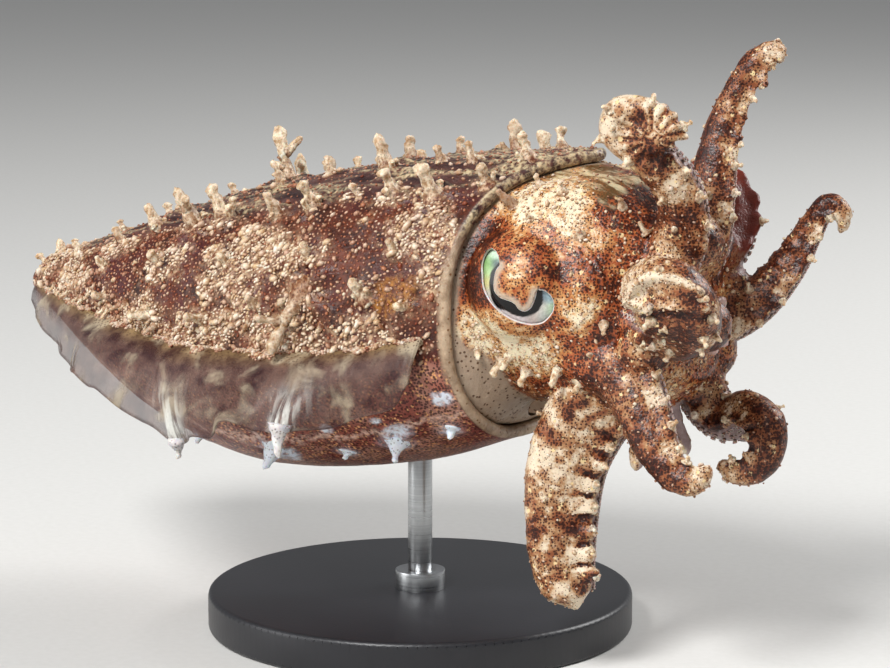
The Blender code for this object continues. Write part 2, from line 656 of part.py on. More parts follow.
def head_points(x, angle):
    """Points on the head's surface round the body at x."""
    width, height, depth = (np.interp(x, HEAD_CURVE[:, 0], HEAD_CURVE[:, column]) for column in (1, 2, 3))
    across = rounded(np.cos(angle), HEAD_SQUARENESS) * width
    upward = rounded(np.sin(angle), HEAD_SQUARENESS)
    upward = upward * np.where(upward > 0, height, depth)
    outward = np.column_stack([np.cos(angle), np.sin(angle)])
    swelling = np.zeros(len(angle))
    for bump_x, bump_z, spread_x, spread_z, size in (EYE_BUMP, BROW_BUMP, CHEEK_BUMP):
        off_x = (x - bump_x) / spread_x
        off_z = (upward - bump_z) / spread_z
        sideways = np.clip(np.abs(np.cos(angle)) * 2, 0, 1)
        swelling += size * np.exp(-(off_x**2) - off_z**2) * sideways
    section = np.column_stack([across, upward]) + outward * swelling[:, None]
    return np.column_stack([np.full(len(angle), x), section])


def lid_ring(side):
    """A fold of skin round the eye's opening."""
    facing = unit(np.array(LID_FACING) * (1, side, 1))
    upright = unit(np.array((0, 0, 1)) - facing * facing[2])
    forward = np.cross(upright, facing)
    place = EYE_CENTRE * (1, side, 1) + facing * EYE_RADIUS * LID_PLACE
    turns = angles_round(LID_SECTION_SIDES)[:, None]
    shape = bmesh.new()
    rows = []
    for angle in angles_round(LID_SIDES):
        outward = math.cos(angle) * forward + math.sin(angle) * upright
        ring = place + LID_RADIUS * outward + LID_THICKNESS * (np.cos(turns) * outward + np.sin(turns) * facing)
        rows.append([shape.verts.new(point) for point in ring])
    for low, high in zip(rows, rows[1:] + rows[:1]):
        add_band(shape, low, high)
    return mesh_object("lid", shape)


def upper_lid(side):
    """The fold over the upper front of the eye, as a cap of a ball that the socket later hollows."""
    centre = Vector(EYE_CENTRE * (1, side, 1))
    facing = Vector(UPPER_LID_FACING) * Vector((1, side, 1))
    radius = EYE_RADIUS + EYE_ROOM + UPPER_LID_THICKNESS
    fold = ball("upper_lid", centre, [radius] * 3, 20, 14)
    shape = bmesh.new()
    shape.from_mesh(fold.data)
    geometry = shape.verts[:] + shape.edges[:] + shape.faces[:]
    bmesh.ops.bisect_plane(
        shape, geom=geometry, plane_co=centre + facing * UPPER_LID_EDGE, plane_no=facing, clear_inner=True
    )
    bmesh.ops.holes_fill(shape, edges=shape.edges)
    bmesh.ops.recalc_face_normals(shape, faces=shape.faces)
    shape.to_mesh(fold.data)
    shape.free()
    return fold


def funnel_ring(share, radius):
    centre = FUNNEL_START + (FUNNEL_END - FUNNEL_START) * share
    forward = unit(FUNNEL_END - FUNNEL_START)
    left = np.array((0.0, 1.0, 0.0))
    up = np.cross(forward, left)
    angles = angles_round(FUNNEL_SIDES)[:, None]
    return centre + radius * (np.cos(angles) * left + np.sin(angles) * up)


def funnel_radius(share):
    return FUNNEL_RADII[0] + (FUNNEL_RADII[1] - FUNNEL_RADII[0]) * share


def make_funnel():
    """A tube that narrows towards its open front end."""
    rings = [funnel_ring(share, funnel_radius(share)) for share in (0, 0.3, 0.6, 0.85, 1)]
    length = np.linalg.norm(FUNNEL_END - FUNNEL_START)
    floor = 1 - FUNNEL_BORE_DEPTH / length
    rings += [funnel_ring(share, funnel_radius(share) - FUNNEL_WALL) for share in (1, 0.8, floor)]
    return loft("funnel", rings)


def make_head(limbs):
    angles = angles_round(HEAD_SIDES)
    rings = [head_points(x, angles) for x in smooth(HEAD_STATIONS, HEAD_RINGS)[:, 0]]
    head = loft("head", rings)
    pieces = [lid(side) for side in (1, -1) for lid in (lid_ring, upper_lid)]
    pieces += [limb.solid("stub", 0, limb.cuts[0] - JOIN_GAP / limb.length) for limb in limbs.values()]
    draw = random.Random(SEED)
    for x, degrees, height in HEAD_PAPILLAE:
        for side in (-1, 1):
            angle = math.radians(degrees if side < 0 else 180 - degrees)
            spot = head_points(x * MM, np.array((angle,)))[0]
            pieces += papilla(spot, outward_of(head_points, x * MM, angle), height * MM, draw)
    combine(head, pieces, "UNION")
    cutters = [ball("socket", EYE_CENTRE * (1, side, 1), [EYE_RADIUS + EYE_ROOM] * 3) for side in (1, -1)]
    groove = [funnel_ring(share, funnel_radius(share) + EYE_ROOM) for share in (-0.1, 0.3, 0.6, 0.85, 1, 1.3)]
    cutters.append(loft("groove", groove))
    return combine(head, cutters, "DIFFERENCE")


def make_eye(name, side):
    return ball(name, EYE_CENTRE * (1, side, 1), [EYE_RADIUS] * 3, 14, 9)


def make_membrane():
    """The lobed skin round the beak."""
    angles = angles_round(MEMBRANE_LAPPETS * 3)
    lobes = 1 + MEMBRANE_LOBE * np.cos(MEMBRANE_LAPPETS * angles)
    rings = []
    for ahead, radius in MEMBRANE_PROFILE:
        spread = radius * MEMBRANE_RADIUS * (lobes if radius > 0.9 else 1)
        rings.append(np.column_stack([
            np.full(len(angles), MOUTH[0] + ahead * MM),
            MOUTH[1] + spread * np.cos(angles),
            MOUTH[2] + spread * np.sin(angles),
        ]))
    return loft("mouth_membrane", rings)


def make_beak():
    """The dark beak, as a blunt point in the middle of the membrane."""
    angles = angles_round(BEAK_SIDES)
    rings = []
    for ahead, radius in BEAK_PROFILE:
        rings.append(np.column_stack([
            np.full(BEAK_SIDES, MOUTH[0] + ahead * MM),
            MOUTH[1] + BEAK_NARROWNESS * radius * BEAK_RADIUS * np.cos(angles),
            MOUTH[2] + radius * BEAK_RADIUS * np.sin(angles),
        ]))
    return loft("beak", rings, end_point=MOUTH + BEAK_POINT)


def make_stand(pitch):
    """The round base, and the rod, whose top is cut to the belly's shape."""
    place = np.array((ROD_PLACE * math.cos(NOSE_UP), 0.0))
    bpy.ops.mesh.primitive_cylinder_add(
        vertices=BASE_SIDES, radius=BASE_RADIUS, depth=BASE_HEIGHT, location=(*place, BASE_TOP - BASE_HEIGHT / 2)
    )
    base = bpy.context.object
    base.name = "stand_base"
    low = BASE_TOP + GAP
    high = mantle_size(ROD_PLACE)[2] + ROD_RADIUS
    bpy.ops.mesh.primitive_cylinder_add(
        vertices=ROD_SIDES, radius=ROD_RADIUS, depth=high - low, location=(*place, (low + high) / 2)
    )
    rod = bpy.context.object
    rod.name = "stand_rod"
    for piece in (base, rod):
        piece.data.transform(piece.matrix_world)
        piece.matrix_world = Matrix()
        piece.users_collection[0].objects.unlink(piece)
    angles = angles_round(MANTLE_SIDES)
    rings = [mantle_points(x, angles, -GAP) for x in smooth(MANTLE_STATIONS, MANTLE_RINGS)[:, 0]]
    belly = loft("belly", rings)
    belly.data.transform(pitch)
    return [base, combine(rod, [belly], "DIFFERENCE")]


def linear_colour(code):
    channels = [int(code[start:start + 2], 16) / 255 for start in (0, 2, 4)]
    return [c / 12.92 if c <= 0.04045 else ((c + 0.055) / 1.055) ** 2.4 for c in channels] + [1]


def make_material(key):
    code, roughness = COLOURS[key]
    material = bpy.data.materials.new(key)
    material.use_nodes = True
    shader = material.node_tree.nodes["Principled BSDF"]
    shader.inputs["Base Color"].default_value = linear_colour(code)
    shader.inputs["Roughness"].default_value = roughness
    shader.inputs["Metallic"].default_value = 1.0 if key == "stand_rod" else 0.0
    return material


def main():
    clear_scene()
    arms = {name: Limb(**sizes) for name, sizes in ARMS.items()}
    tentacles = {name: Limb(route, **TENTACLE_SIZES) for name, route in TENTACLES.items()}
    animal = [make_mantle(), make_fin("fin_left", 1), make_fin("fin_right", -1), make_head(arms | tentacles)]
    animal += [make_funnel(), make_membrane(), make_beak(), make_eye("eye_left", 1), make_eye("eye_right", -1)]
    for name, limb in arms.items():
        animal += make_arm_lengths(name, limb)
    for name, limb in tentacles.items():
        animal.append(limb.solid(name, TENTACLE_STUB + JOIN_GAP / limb.length, 1))
    pitch = Matrix.Rotation(-NOSE_UP, 4, "Y")
    for node in animal:
        node.data.transform(pitch)

    stand = make_stand(pitch)
    group = bpy.data.collections.new("cuttlefish")
    bpy.context.scene.collection.children.link(group)
    materials = {key: make_material(key) for key in COLOURS}
    corners = np.array([vertex.co for node in animal + stand for vertex in node.data.vertices])
    low, high = corners.min(axis=0), corners.max(axis=0)
    origin = Matrix.Translation((-(low[0] + high[0]) / 2, -(low[1] + high[1]) / 2, -low[2]))
    for node in animal + stand:
        group.objects.link(node)
        node.data.transform(origin)
        key = max((key for key in COLOURS if node.name.startswith(key)), key=len)
        node.data.materials.clear()
        node.data.materials.append(materials[key])
        node.data.shade_smooth()
        node.data.set_sharp_from_angle(angle=math.radians(40))


main()
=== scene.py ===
import math
import random

import bmesh
import bpy
import numpy as np
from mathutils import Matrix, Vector, kdtree, noise


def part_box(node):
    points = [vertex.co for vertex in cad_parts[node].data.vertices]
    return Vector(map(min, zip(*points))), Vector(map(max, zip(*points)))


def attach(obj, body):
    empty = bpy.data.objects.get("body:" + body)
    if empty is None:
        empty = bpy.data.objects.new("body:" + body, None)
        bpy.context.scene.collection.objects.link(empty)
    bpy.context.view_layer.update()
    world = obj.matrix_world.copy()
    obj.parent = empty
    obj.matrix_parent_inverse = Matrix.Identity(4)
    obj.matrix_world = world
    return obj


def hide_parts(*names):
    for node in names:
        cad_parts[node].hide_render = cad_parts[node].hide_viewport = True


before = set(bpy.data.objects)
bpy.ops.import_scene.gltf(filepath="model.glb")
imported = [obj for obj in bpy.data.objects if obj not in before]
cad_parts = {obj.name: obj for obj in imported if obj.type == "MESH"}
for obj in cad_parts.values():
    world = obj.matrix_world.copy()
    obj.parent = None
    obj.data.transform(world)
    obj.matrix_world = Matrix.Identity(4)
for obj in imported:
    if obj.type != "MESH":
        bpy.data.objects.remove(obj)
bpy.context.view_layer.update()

MM = 0.001

# Stand base: a heavy round plate, turned from mild steel with softened edges and powder-coated satin black.
# The whole animal is carried over it on one rod, so the plate is wide and plain.


def deselect():
    bpy.ops.object.select_all(action="DESELECT")


def srgb(code):
    """A hex colour as the linear colour that a shader takes."""
    channels = [int(code[start:start + 2], 16) / 255 for start in (0, 2, 4)]
    return [c / 12.92 if c <= 0.04045 else ((c + 0.055) / 1.055) ** 2.4 for c in channels] + [1]


def node(tree, kind, inputs=None, output=None, **settings):
    """Adds a shader node and returns its output. It takes values, colour codes or other nodes' outputs."""
    new = tree.nodes.new("ShaderNode" + kind)
    for name, value in settings.items():
        setattr(new, name, value)
    for key, value in (inputs or {}).items():
        if isinstance(value, bpy.types.NodeSocket):
            tree.links.new(value, new.inputs[key])
        else:
            new.inputs[key].default_value = srgb(value) if isinstance(value, str) else value
    if output:
        return new.outputs[output]
    return next((socket for socket in new.outputs if socket.enabled), None)


def new_material(name, **values):
    """A named material with its shader's values set, its node tree and the place that its patterns follow."""
    material = bpy.data.materials.new(name)
    material.use_nodes = True
    tree = material.node_tree
    for key, value in values.items():
        tree.nodes["Principled BSDF"].inputs[key.replace("_", " ")].default_value = value
    return material, tree, node(tree, "TexCoord", output="Object")


def wire(tree, **sources):
    """Feeds the shader's sockets from the outputs of nodes."""
    for key, source in sources.items():
        tree.links.new(source, tree.nodes["Principled BSDF"].inputs[key.replace("_", " ")])


def painted(tree, ground, *coats):
    """A colour built up in coats, as on the real model. Each coat is a mask, its colour and, where less of it
    is laid on, how much."""
    for mask, colour, *amounts in coats:
        for amount in amounts:
            mask = node(tree, "Math", {0: mask, 1: amount}, operation="MULTIPLY")
        ground = node(tree, "Mix", {0: mask, 6: ground, 7: colour}, data_type="RGBA")
    return ground


def put_in_place(piece, material, slot, *nodes):
    """Gives a finished piece its material and its body, and hides the solids that it stands for. The slot is
    not used.
    """
    piece.data.materials.clear()
    piece.data.materials.append(material)
    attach(piece, "root")
    if nodes:
        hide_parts(*nodes)


def turned(name, sides, radius, low, high, middle, edge, edge_steps, dish=None):
    """A part turned between two heights round a middle, with soft edges and perhaps a dish in its top."""
    deselect()
    bpy.ops.mesh.primitive_cylinder_add(
        vertices=sides, radius=radius, depth=high - low, location=(middle.x, middle.y, (low + high) / 2)
    )
    part = bpy.context.object
    part.name = name
    bpy.ops.object.mode_set(mode="EDIT")
    if dish:
        inset, drop = dish
        bpy.ops.mesh.select_all(action="DESELECT")
        shape = bmesh.from_edit_mesh(part.data)
        for face in shape.faces:
            face.select = face.normal.z > 0.9
        bpy.ops.mesh.inset(thickness=inset)
        bpy.ops.transform.translate(value=(0, 0, -drop))
    bpy.ops.mesh.select_all(action="SELECT")
    bpy.ops.mesh.bevel(offset=edge, segments=edge_steps, affect="EDGES")
    bpy.ops.object.mode_set(mode="OBJECT")
    bpy.ops.object.transform_apply()
    bpy.ops.object.shade_smooth_by_angle(angle=math.radians(35))
    return part


BASE_SIDES = 144
BASE_EDGE = 0.7 * MM
COAT_TEXTURE = 0.5 * MM  # the orange-peel of powder coat
DUST_PATCH = 9 * MM

base_low, base_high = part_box("stand_base")
base_middle = (base_low + base_high) / 2
base_radius = (base_high.x - base_low.x) / 2
base = turned("stand_plate", BASE_SIDES, base_radius, base_low.z, base_high.z, base_middle, BASE_EDGE, 4)

# Powder coat: a satin black polyester skin that flows into a faint orange-peel,
# so reflections break up softly
powder_coat, tree, place = new_material("satin_black_powder_coat", Roughness=0.4, IOR=1.5)
peel = node(tree, "TexNoise", {"Vector": place, "Scale": 1 / COAT_TEXTURE, "Detail": 2.0})
dust = node(tree, "TexNoise", {"Vector": place, "Scale": 1 / DUST_PATCH, "Detail": 3.0})
relief = node(tree, "Bump", {"Height": peel, "Strength": 0.25, "Distance": 0.05 * MM})
wire(tree, Base_Color=painted(tree, "17171A", (dust, "26262A")), Normal=relief)
put_in_place(base, powder_coat, "stand_base", "stand_base")


# Stand rod: a stainless rod, linished along its length, with a turned collar that grips it where it enters
# the plate. Its top ends inside the belly, where a real museum model has its socket.
ROD_SIDES = 48
ROD_EDGE = 0.15 * MM
ROD_RISE = 0.9 * MM  # into the belly's skin
COLLAR_SIDES = 72
COLLAR_RADIUS = 3.3 * MM
COLLAR_HEIGHT = 2.6 * MM
COLLAR_SUNK = 0.1 * MM  # into the plate
COLLAR_EDGE = 0.18 * MM
COLLAR_DISH = 0.35 * MM
COLLAR_ROOM = 0.25 * MM  # between the rod and the dish's side
SCRATCH_SCALE = (60, 60, 5000)  # fine lines round the rod

rod_low, rod_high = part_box("stand_rod")
rod_middle = (rod_low + rod_high) / 2
rod_radius = (rod_high.x - rod_low.x) / 2
rod_top = rod_high.z + ROD_RISE
rod = turned("stand_rod_steel", ROD_SIDES, rod_radius, rod_low.z, rod_top, rod_middle, ROD_EDGE, 2)
collar_low = base_high.z - COLLAR_SUNK
collar = turned(
    "stand_collar", COLLAR_SIDES, COLLAR_RADIUS, collar_low, collar_low + COLLAR_HEIGHT, rod_middle,
    COLLAR_EDGE, 2,
    dish=(COLLAR_RADIUS - rod_radius - COLLAR_ROOM, COLLAR_DISH),
)

# Stainless steel, linished: bright, with fine scratches round the rod that stretch its highlights
steel, tree, place = new_material("linished_stainless_steel", Metallic=1.0, Roughness=0.3)
scratch_place = node(tree, "Mapping", {"Vector": place, "Scale": SCRATCH_SCALE})
scratches = node(tree, "TexNoise", {"Vector": scratch_place, "Scale": 1.0, "Detail": 3.0})
gloss = node(tree, "MapRange", {"Value": scratches, "To Min": 0.2, "To Max": 0.42})
relief = node(tree, "Bump", {"Height": scratches, "Strength": 0.2, "Distance": 0.02 * MM})
wire(tree, Base_Color=painted(tree, "9A9C9E", (scratches, "CFD1D2")), Roughness=gloss, Normal=relief)
put_in_place(rod, steel, "stand_rod", "stand_rod")
put_in_place(collar, steel, "stand_rod")


# Mantle: the soft muscular bag of the body, cast in pigmented silicone over a core and hand-coloured. Its
# surface is a smooth superellipse from tail to rim, given low lumps, wrinkles and a mound under each papilla.
NOSE_UP = math.radians(4)
BODY_TO_ROW = np.array((
    (math.cos(NOSE_UP), 0, -math.sin(NOSE_UP)),
    (0, 1, 0),
    (math.sin(NOSE_UP), 0, math.cos(NOSE_UP)),
))
NECK = np.array((base_middle.x + 17 * MM * math.cos(NOSE_UP), base_middle.y, base_high.z + 41 * MM))
MANTLE_STATIONS = np.array((  # x, half width, top, bottom and the height of the fin line
    (-82.6, 1.3, 1.4, -1.3, 0.0),
    (-76.0, 5.6, 4.2, -5.4, -0.8),
    (-64.0, 12.0, 7.6, -13.4, -2.2),
    (-52.0, 17.0, 10.9, -19.4, -3.8),
    (-36.0, 20.6, 14.2, -23.4, -5.6),
    (-15.0, 20.8, 17.3, -22.0, -5.2),
    (0.0, 18.8, 18.2, -18.4, -3.0),
)) * MM
MANTLE_SQUARENESS = 2.25
MANTLE_SIDES = 350
MANTLE_RINGS = 250
RIM_THICKNESS = 1.6 * MM
POCKET_FLOOR = -7.0 * MM
TONGUE_REACH = 11.0 * MM
TONGUE_WIDTH = math.radians(32)
VENTRAL_NOTCH = 1.5 * MM
SIDE_NOTCH = 1.2 * MM
TONGUE_START = -20.0 * MM
TAIL_ROUNDING = 0.8 * MM
SEED = 7
UNDERSIDE = -0.3  # a place whose outward direction falls below this is on the underside
# Papillae: rows on the mantle, each the side of the body, the angle round it and
# the places and heights along it
PAPILLA_ROWS = (
    ("right", 104, ((-76.5, 2.2), (-64, 1.8), (-52, 2.4), (-34, 2.0), (-26.4, 2.2), (-16.9, 4.6), (-11.2, 2.6),
                    (-8.0, 3.0), (-2.6, 3.4))),
    ("left", 78, ((-76.5, 2.0), (-60, 2.2), (-49, 2.2), (-40.4, 7.8), (-30, 2.2), (-19.9, 3.2), (-14, 2.4),
                  (-9.2, 4.6), (-4.6, 3.2))),
    ("both", 126, ((-78.5, 2.0), (-69, 1.8), (-59, 2.4), (-52, 3.8), (-42.8, 6.4), (-38.2, 5.2), (-28.7, 3.8),
                   (-23.4, 3.8), (-17.2, 1.9), (-12.5, 3.4), (-6.6, 5.0), (-2.0, 2.8))),
    ("both", 148, ((-60, 1.9), (-47, 2.6), (-34, 2.2), (-20.7, 2.2), (-8, 2.0))),
    ("both", 168, ((-58, 2.2), (-47.6, 2.8), (-36.6, 3.4), (-28, 2.2), (-11.5, 2.8), (-5, 1.8))),
    ("both", 228, ((-45, 1.8), (-30.6, 4.2), (-20, 1.4), (-11.5, 3.6), (-3.4, 1.6))),
)
LONG_PAPILLA = (-20.9, 163, 8.4)
LONG_PAPILLA_LEAN = (-0.42, 0.6, -0.78)
# Markings: x, angle round the body, half length and half height in mm, on the right, and mirrored to the left
PALE_PATCHES = (
    (-30.0, 147, 9.5, 4.6), (-34.0, 151, 6.0, 5.0), (-22.2, 151, 4.5, 3.4), (-6.2, 143, 4.0, 4.4),
    (-1.7, 157, 2.2, 4.5), (-68.5, 120, 5.0, 4.0), (-76, 130, 4.0, 3.0), (-69, 156, 5.0, 3.0),
    (-21.9, 175, 5.5, 3.0), (-12.5, 177, 3.6, 2.4), (-30.2, 166, 3.8, 3.2), (-39.4, 175, 4.2, 3.0),
    (-50.8, 172, 5.5, 3.4), (-46, 150, 4.0, 2.6), (-58, 132, 4.0, 2.6), (-12, 128, 4.5, 1.6),
    (-40, 128, 7.0, 1.6),
)
DARK_PATCHES = (
    (-56.8, 160, 5.5, 4.0), (-15.2, 161, 6.5, 4.6), (-21.4, 133, 6.0, 3.2), (-43, 162, 3.5, 3.5),
)
AMBER_PATCHES = ((-6.7, 166, 3.4, 2.0),)
WHITE_PATCHES = (
    (-30.4, 230, 2.6, 2.6), (-10.5, 219, 2.2, 1.6), (-2.0, 208, 1.5, 1.3), (-20, 213, 1.2, 0.8),
    (-12, 211, 1.0, 0.7),
)
# Lumps of the skin: heights and sizes in mm, along, across and up where they aren't round
SKIN_LUMPS = (0.24, 3.4)
SKIN_GRAIN = (0.11, 1.3)
BACK_WRINKLES = (0.32, (9.0, 1.1, 3.5))
BACK_CREASES = (0.5, (5.0, 0.7, 2.0))
PALE_RIDGES = (0.36, (2.6, 1.5, 1.5))


def unit(vector):
    return vector / np.linalg.norm(vector)


def to_row(points):
    """Places in the animal's own frame, turned and moved to where it stands."""
    return points @ BODY_TO_ROW.T + NECK


def smooth(points, count):
    """That many points, evenly spaced along a Catmull-Rom curve through the given ones."""
    given = np.asarray(points, float)
    given = np.vstack([2 * given[0] - given[1], given, 2 * given[-1] - given[-2]])
    part_way = np.linspace(0, 1, 24, endpoint=False)[:, None]
    spans = []
    for before, start, end, after in zip(given, given[1:], given[2:], given[3:]):
        rise = (end - before) * part_way
        bend = (2 * before - 5 * start + 4 * end - after) * part_way**2
        turn = (3 * start - before - 3 * end + after) * part_way**3
        spans.append(start + 0.5 * (rise + bend + turn))
    dense = np.vstack([*spans, given[-2:-1]])
    steps = np.linalg.norm(np.diff(dense, axis=0), axis=1)
    travelled = np.concatenate([[0], np.cumsum(steps)])
    even = np.linspace(0, travelled[-1], count)
    return np.column_stack([np.interp(even, travelled, column) for column in dense.T])


def rounded(wave, squareness):
    """A cosine or sine pushed out towards a rounded square."""
    return np.sign(wave) * np.abs(wave) ** (2 / squareness)


def angles_round(sides):
    return np.arange(sides) * 2 * math.pi / sides


def turned_from(angle, start=0.0):
    """How far an angle is from another, the short way round."""
    return np.abs((angle - start + math.pi) % (2 * math.pi) - math.pi)


def side_angle(side, degrees):
    """The angle round the body, on either side, of a place that is given in degrees on the right."""
    return math.radians(degrees if side < 0 else 180 - degrees)


def ease(value, low, high):
    """0 up to low, 1 from high on, and a smooth rise between them. It falls where low is above high."""
    share = np.clip((value - low) / (high - low), 0, 1)
    return share * share * (3 - 2 * share)


def lumps(points, size, seed):
    """Smooth noise from about -1 to 1, with lumps of about that size, in metres or along each axis."""
    return np.array([noise.noise(place) for place in points / size + seed * 17.3])


def closed_faces(rows, columns):
    """Faces of a grid of vertices whose rows are rings."""
    index = np.arange(rows * columns).reshape(rows, columns)
    after = np.roll(index, -1, axis=1)
    return np.stack([index[:-1], after[:-1], after[1:], index[1:]], axis=-1).reshape(-1, 4).tolist()


def capped_faces(rows, columns):
    """The same with a flat face over each end."""
    ends = [list(range(columns))[::-1], list(range((rows - 1) * columns, rows * columns))]
    return closed_faces(rows, columns) + ends


def pointed_faces(rows, columns):
    """The same with a flat foot, and a tip that is the vertex after the last ring."""
    last, tip = (rows - 1) * columns, rows * columns
    cone = [[last + index, last + (index + 1) % columns, tip] for index in range(columns)]
    return closed_faces(rows, columns) + cone + [list(range(columns))[::-1]]


def ring_normals(rings):
    """Outward directions at the points of a stack of rings."""
    round_it = np.roll(rings, -1, axis=1) - np.roll(rings, 1, axis=1)
    normals = np.cross(round_it, np.gradient(rings, axis=0))
    return normals / np.maximum(np.linalg.norm(normals, axis=2), 1e-12)[:, :, None]


def select_only(piece):
    deselect()
    piece.select_set(True)
    bpy.context.view_layer.objects.active = piece


def face_outwards(piece):
    """Turns the faces of a closed mesh outwards and smooths its shading."""
    select_only(piece)
    bpy.ops.object.mode_set(mode="EDIT")
    bpy.ops.mesh.select_all(action="SELECT")
    bpy.ops.mesh.normals_make_consistent(inside=False)
    bpy.ops.object.mode_set(mode="OBJECT")
    bpy.ops.object.shade_smooth()


def mesh_piece(name, points, faces):
    """A smooth-shaded object of these points and faces, with its faces turned outwards."""
    mesh = bpy.data.meshes.new(name)
    mesh.from_pydata(points, [], faces)
    piece = bpy.data.objects.new(name, mesh)
    bpy.context.scene.collection.objects.link(piece)
    face_outwards(piece)
    return piece


def paint(piece, **shares):
    """Stores one number for each vertex under each name."""
    for name, values in shares.items():
        layer = piece.data.attributes.new(name, "FLOAT", "POINT")
        layer.data.foreach_set("value", np.asarray(values, np.float32))


MANTLE_CURVE = smooth(MANTLE_STATIONS, 240)


def mantle_size(x):
    """Half width, top, bottom and fin line of the mantle at x."""
    return [np.interp(x, MANTLE_CURVE[:, 0], MANTLE_CURVE[:, column]) for column in (1, 2, 3, 4)]


def rim_shift(angle):
    """How far forward the rim lies at an angle round the body, where 90 degrees is the back's midline."""
    from_top = turned_from(angle, math.pi / 2)
    tongue = TONGUE_REACH * np.exp(-((from_top / TONGUE_WIDTH) ** 1.5))
    notch = VENTRAL_NOTCH * np.exp(-(((math.pi - from_top) / TONGUE_WIDTH) ** 2))
    return tongue - notch - SIDE_NOTCH * np.sin(from_top) ** 2


def mantle_points(x, angle, inset=0.0):
    """Points on the mantle's outer surface, or that far inside it."""
    width, top, bottom, line = mantle_size(x)
    across = rounded(np.cos(angle), MANTLE_SQUARENESS)
    upward = rounded(np.sin(angle), MANTLE_SQUARENESS)
    reach = np.where(upward > 0, top - line, line - bottom) - inset
    ahead = ease(x, TONGUE_START, 0) * rim_shift(angle)
    return np.column_stack([x + ahead, (width - inset) * across, line + reach * upward])


def surface_at(points_at, x, angle):
    """A place on a surface, and the outward direction there, where points_at gives points of the surface."""
    step = 0.01
    here, round_it = points_at(x, np.array((angle, angle + step)))
    ahead = points_at(x + step * MM, np.array((angle,)))[0]
    return here, unit(np.cross(round_it - here, ahead - here))


def finger_draws(draw):
    """What is drawn for one finger: its bend to two sides and its turn."""
    return [draw.uniform(-1, 1), draw.uniform(-1, 1), draw.uniform(0, math.pi)]


def mantle_papilla_places():
    """Each papilla's root, outward direction, lean, height and the draws that its shape takes."""
    draw = random.Random(SEED)
    places = []

    def place(spot, outward, lean, height):
        draws = finger_draws(draw)
        if height > 6 * MM:
            draws += finger_draws(draw)
        places.append((spot, outward, unit(lean), height, draws))

    for side_name, degrees, spots in PAPILLA_ROWS:
        for mirrored in (False, True) if side_name == "both" else (False,):
            for x, height in spots:
                angle = side_angle(1 if mirrored else -1, degrees) + math.radians(4) * draw.uniform(-1, 1)
                x = x * MM + MM * draw.uniform(-1, 1) * mirrored
                height = height * MM * draw.uniform(0.92, 1.08)
                spot, outward = surface_at(mantle_points, x, angle)
                rise = 0.6 if outward[2] > 0.2 else -0.5 if outward[2] < -0.2 else 0
                place(spot, outward, outward + (-0.22, 0, rise), height)
    x, degrees, height = LONG_PAPILLA
    for side in (-1, 1):
        spot, outward = surface_at(mantle_points, x * MM, side_angle(side, degrees))
        place(spot, outward, np.array(LONG_PAPILLA_LEAN) * (1, side, 1), height * MM)
    return places


def patches(spots, x, angle, wobble):
    """From 0 to 1, how far each place lies in one of the patches, whose borders the noise makes uneven."""
    found = np.zeros(len(x))
    radius = mantle_size(x)[0]
    for spot_x, degrees, half_length, half_height in spots:
        along = (x - spot_x * MM) / (half_length * MM)
        around = (angle - math.radians(degrees)) * radius / (half_height * MM)
        found = np.maximum(found, ease(np.hypot(along, around) + 0.55 * wobble, 1.25, 0.65))
    return found


def mantle_marks(points, x, angle):
    """The mantle's markings at each place, as shares from 0 to 1."""
    right_angle = np.where(np.cos(angle) > 0, math.pi - angle, angle) % (2 * math.pi)
    from_top = np.degrees(np.abs(right_angle - math.pi / 2))
    wobble = lumps(points, 3.2 * MM, 1) + 0.5 * lumps(points, 1.4 * MM, 2)
    broad = lumps(points, 8 * MM, 3)
    pale = patches(PALE_PATCHES, x, right_angle, wobble + 0.3 * broad)
    pale = np.maximum(pale, 0.75 * ease(wobble + 0.6 * broad, 0.35, 0.8))
    dark = patches(DARK_PATCHES, x, right_angle, wobble)
    back = ease(from_top + 5 * wobble, 42, 30) * ease(x, -78 * MM, -62 * MM)
    crust = ease(np.abs(from_top - 84 + 3 * wobble), 9, 4) * ease(wobble + 0.6 * broad, -0.5, 0.2)
    crust *= ease(x, -5 * MM, -9 * MM)
    pale = np.maximum(pale, 0.9 * crust)
    belly = ease(from_top + 2 * wobble, 96, 100)
    rim = ease(x + 0.3 * MM * wobble, -0.7 * MM, -0.2 * MM) * ease(from_top, 58, 76) * ease(from_top, 116, 98)
    return {
        "pale": pale * (1 - 0.8 * dark) * (1 - back) * (1 - belly),
        "back": back,
        "belly": belly,
        "rim": rim,
        "amber": patches(AMBER_PATCHES, x, right_angle, wobble),
        "white": patches(WHITE_PATCHES, x, right_angle, 1.2 * wobble),
        "ridge": belly * np.exp(-(((from_top - 128 - 4 * wobble) / 2.2) ** 2)),
    }


ring_x = smooth(MANTLE_STATIONS, MANTLE_RINGS)[:, 0]
angles = angles_round(MANTLE_SIDES)
rings = np.array([mantle_points(x, angles) for x in ring_x])
normals = ring_normals(rings)
flat = rings.reshape(-1, 3)
flat_x = np.repeat(ring_x, MANTLE_SIDES)
flat_angle = np.tile(angles, MANTLE_RINGS)
marks = mantle_marks(flat, flat_x, flat_angle)
papilla_places = mantle_papilla_places()

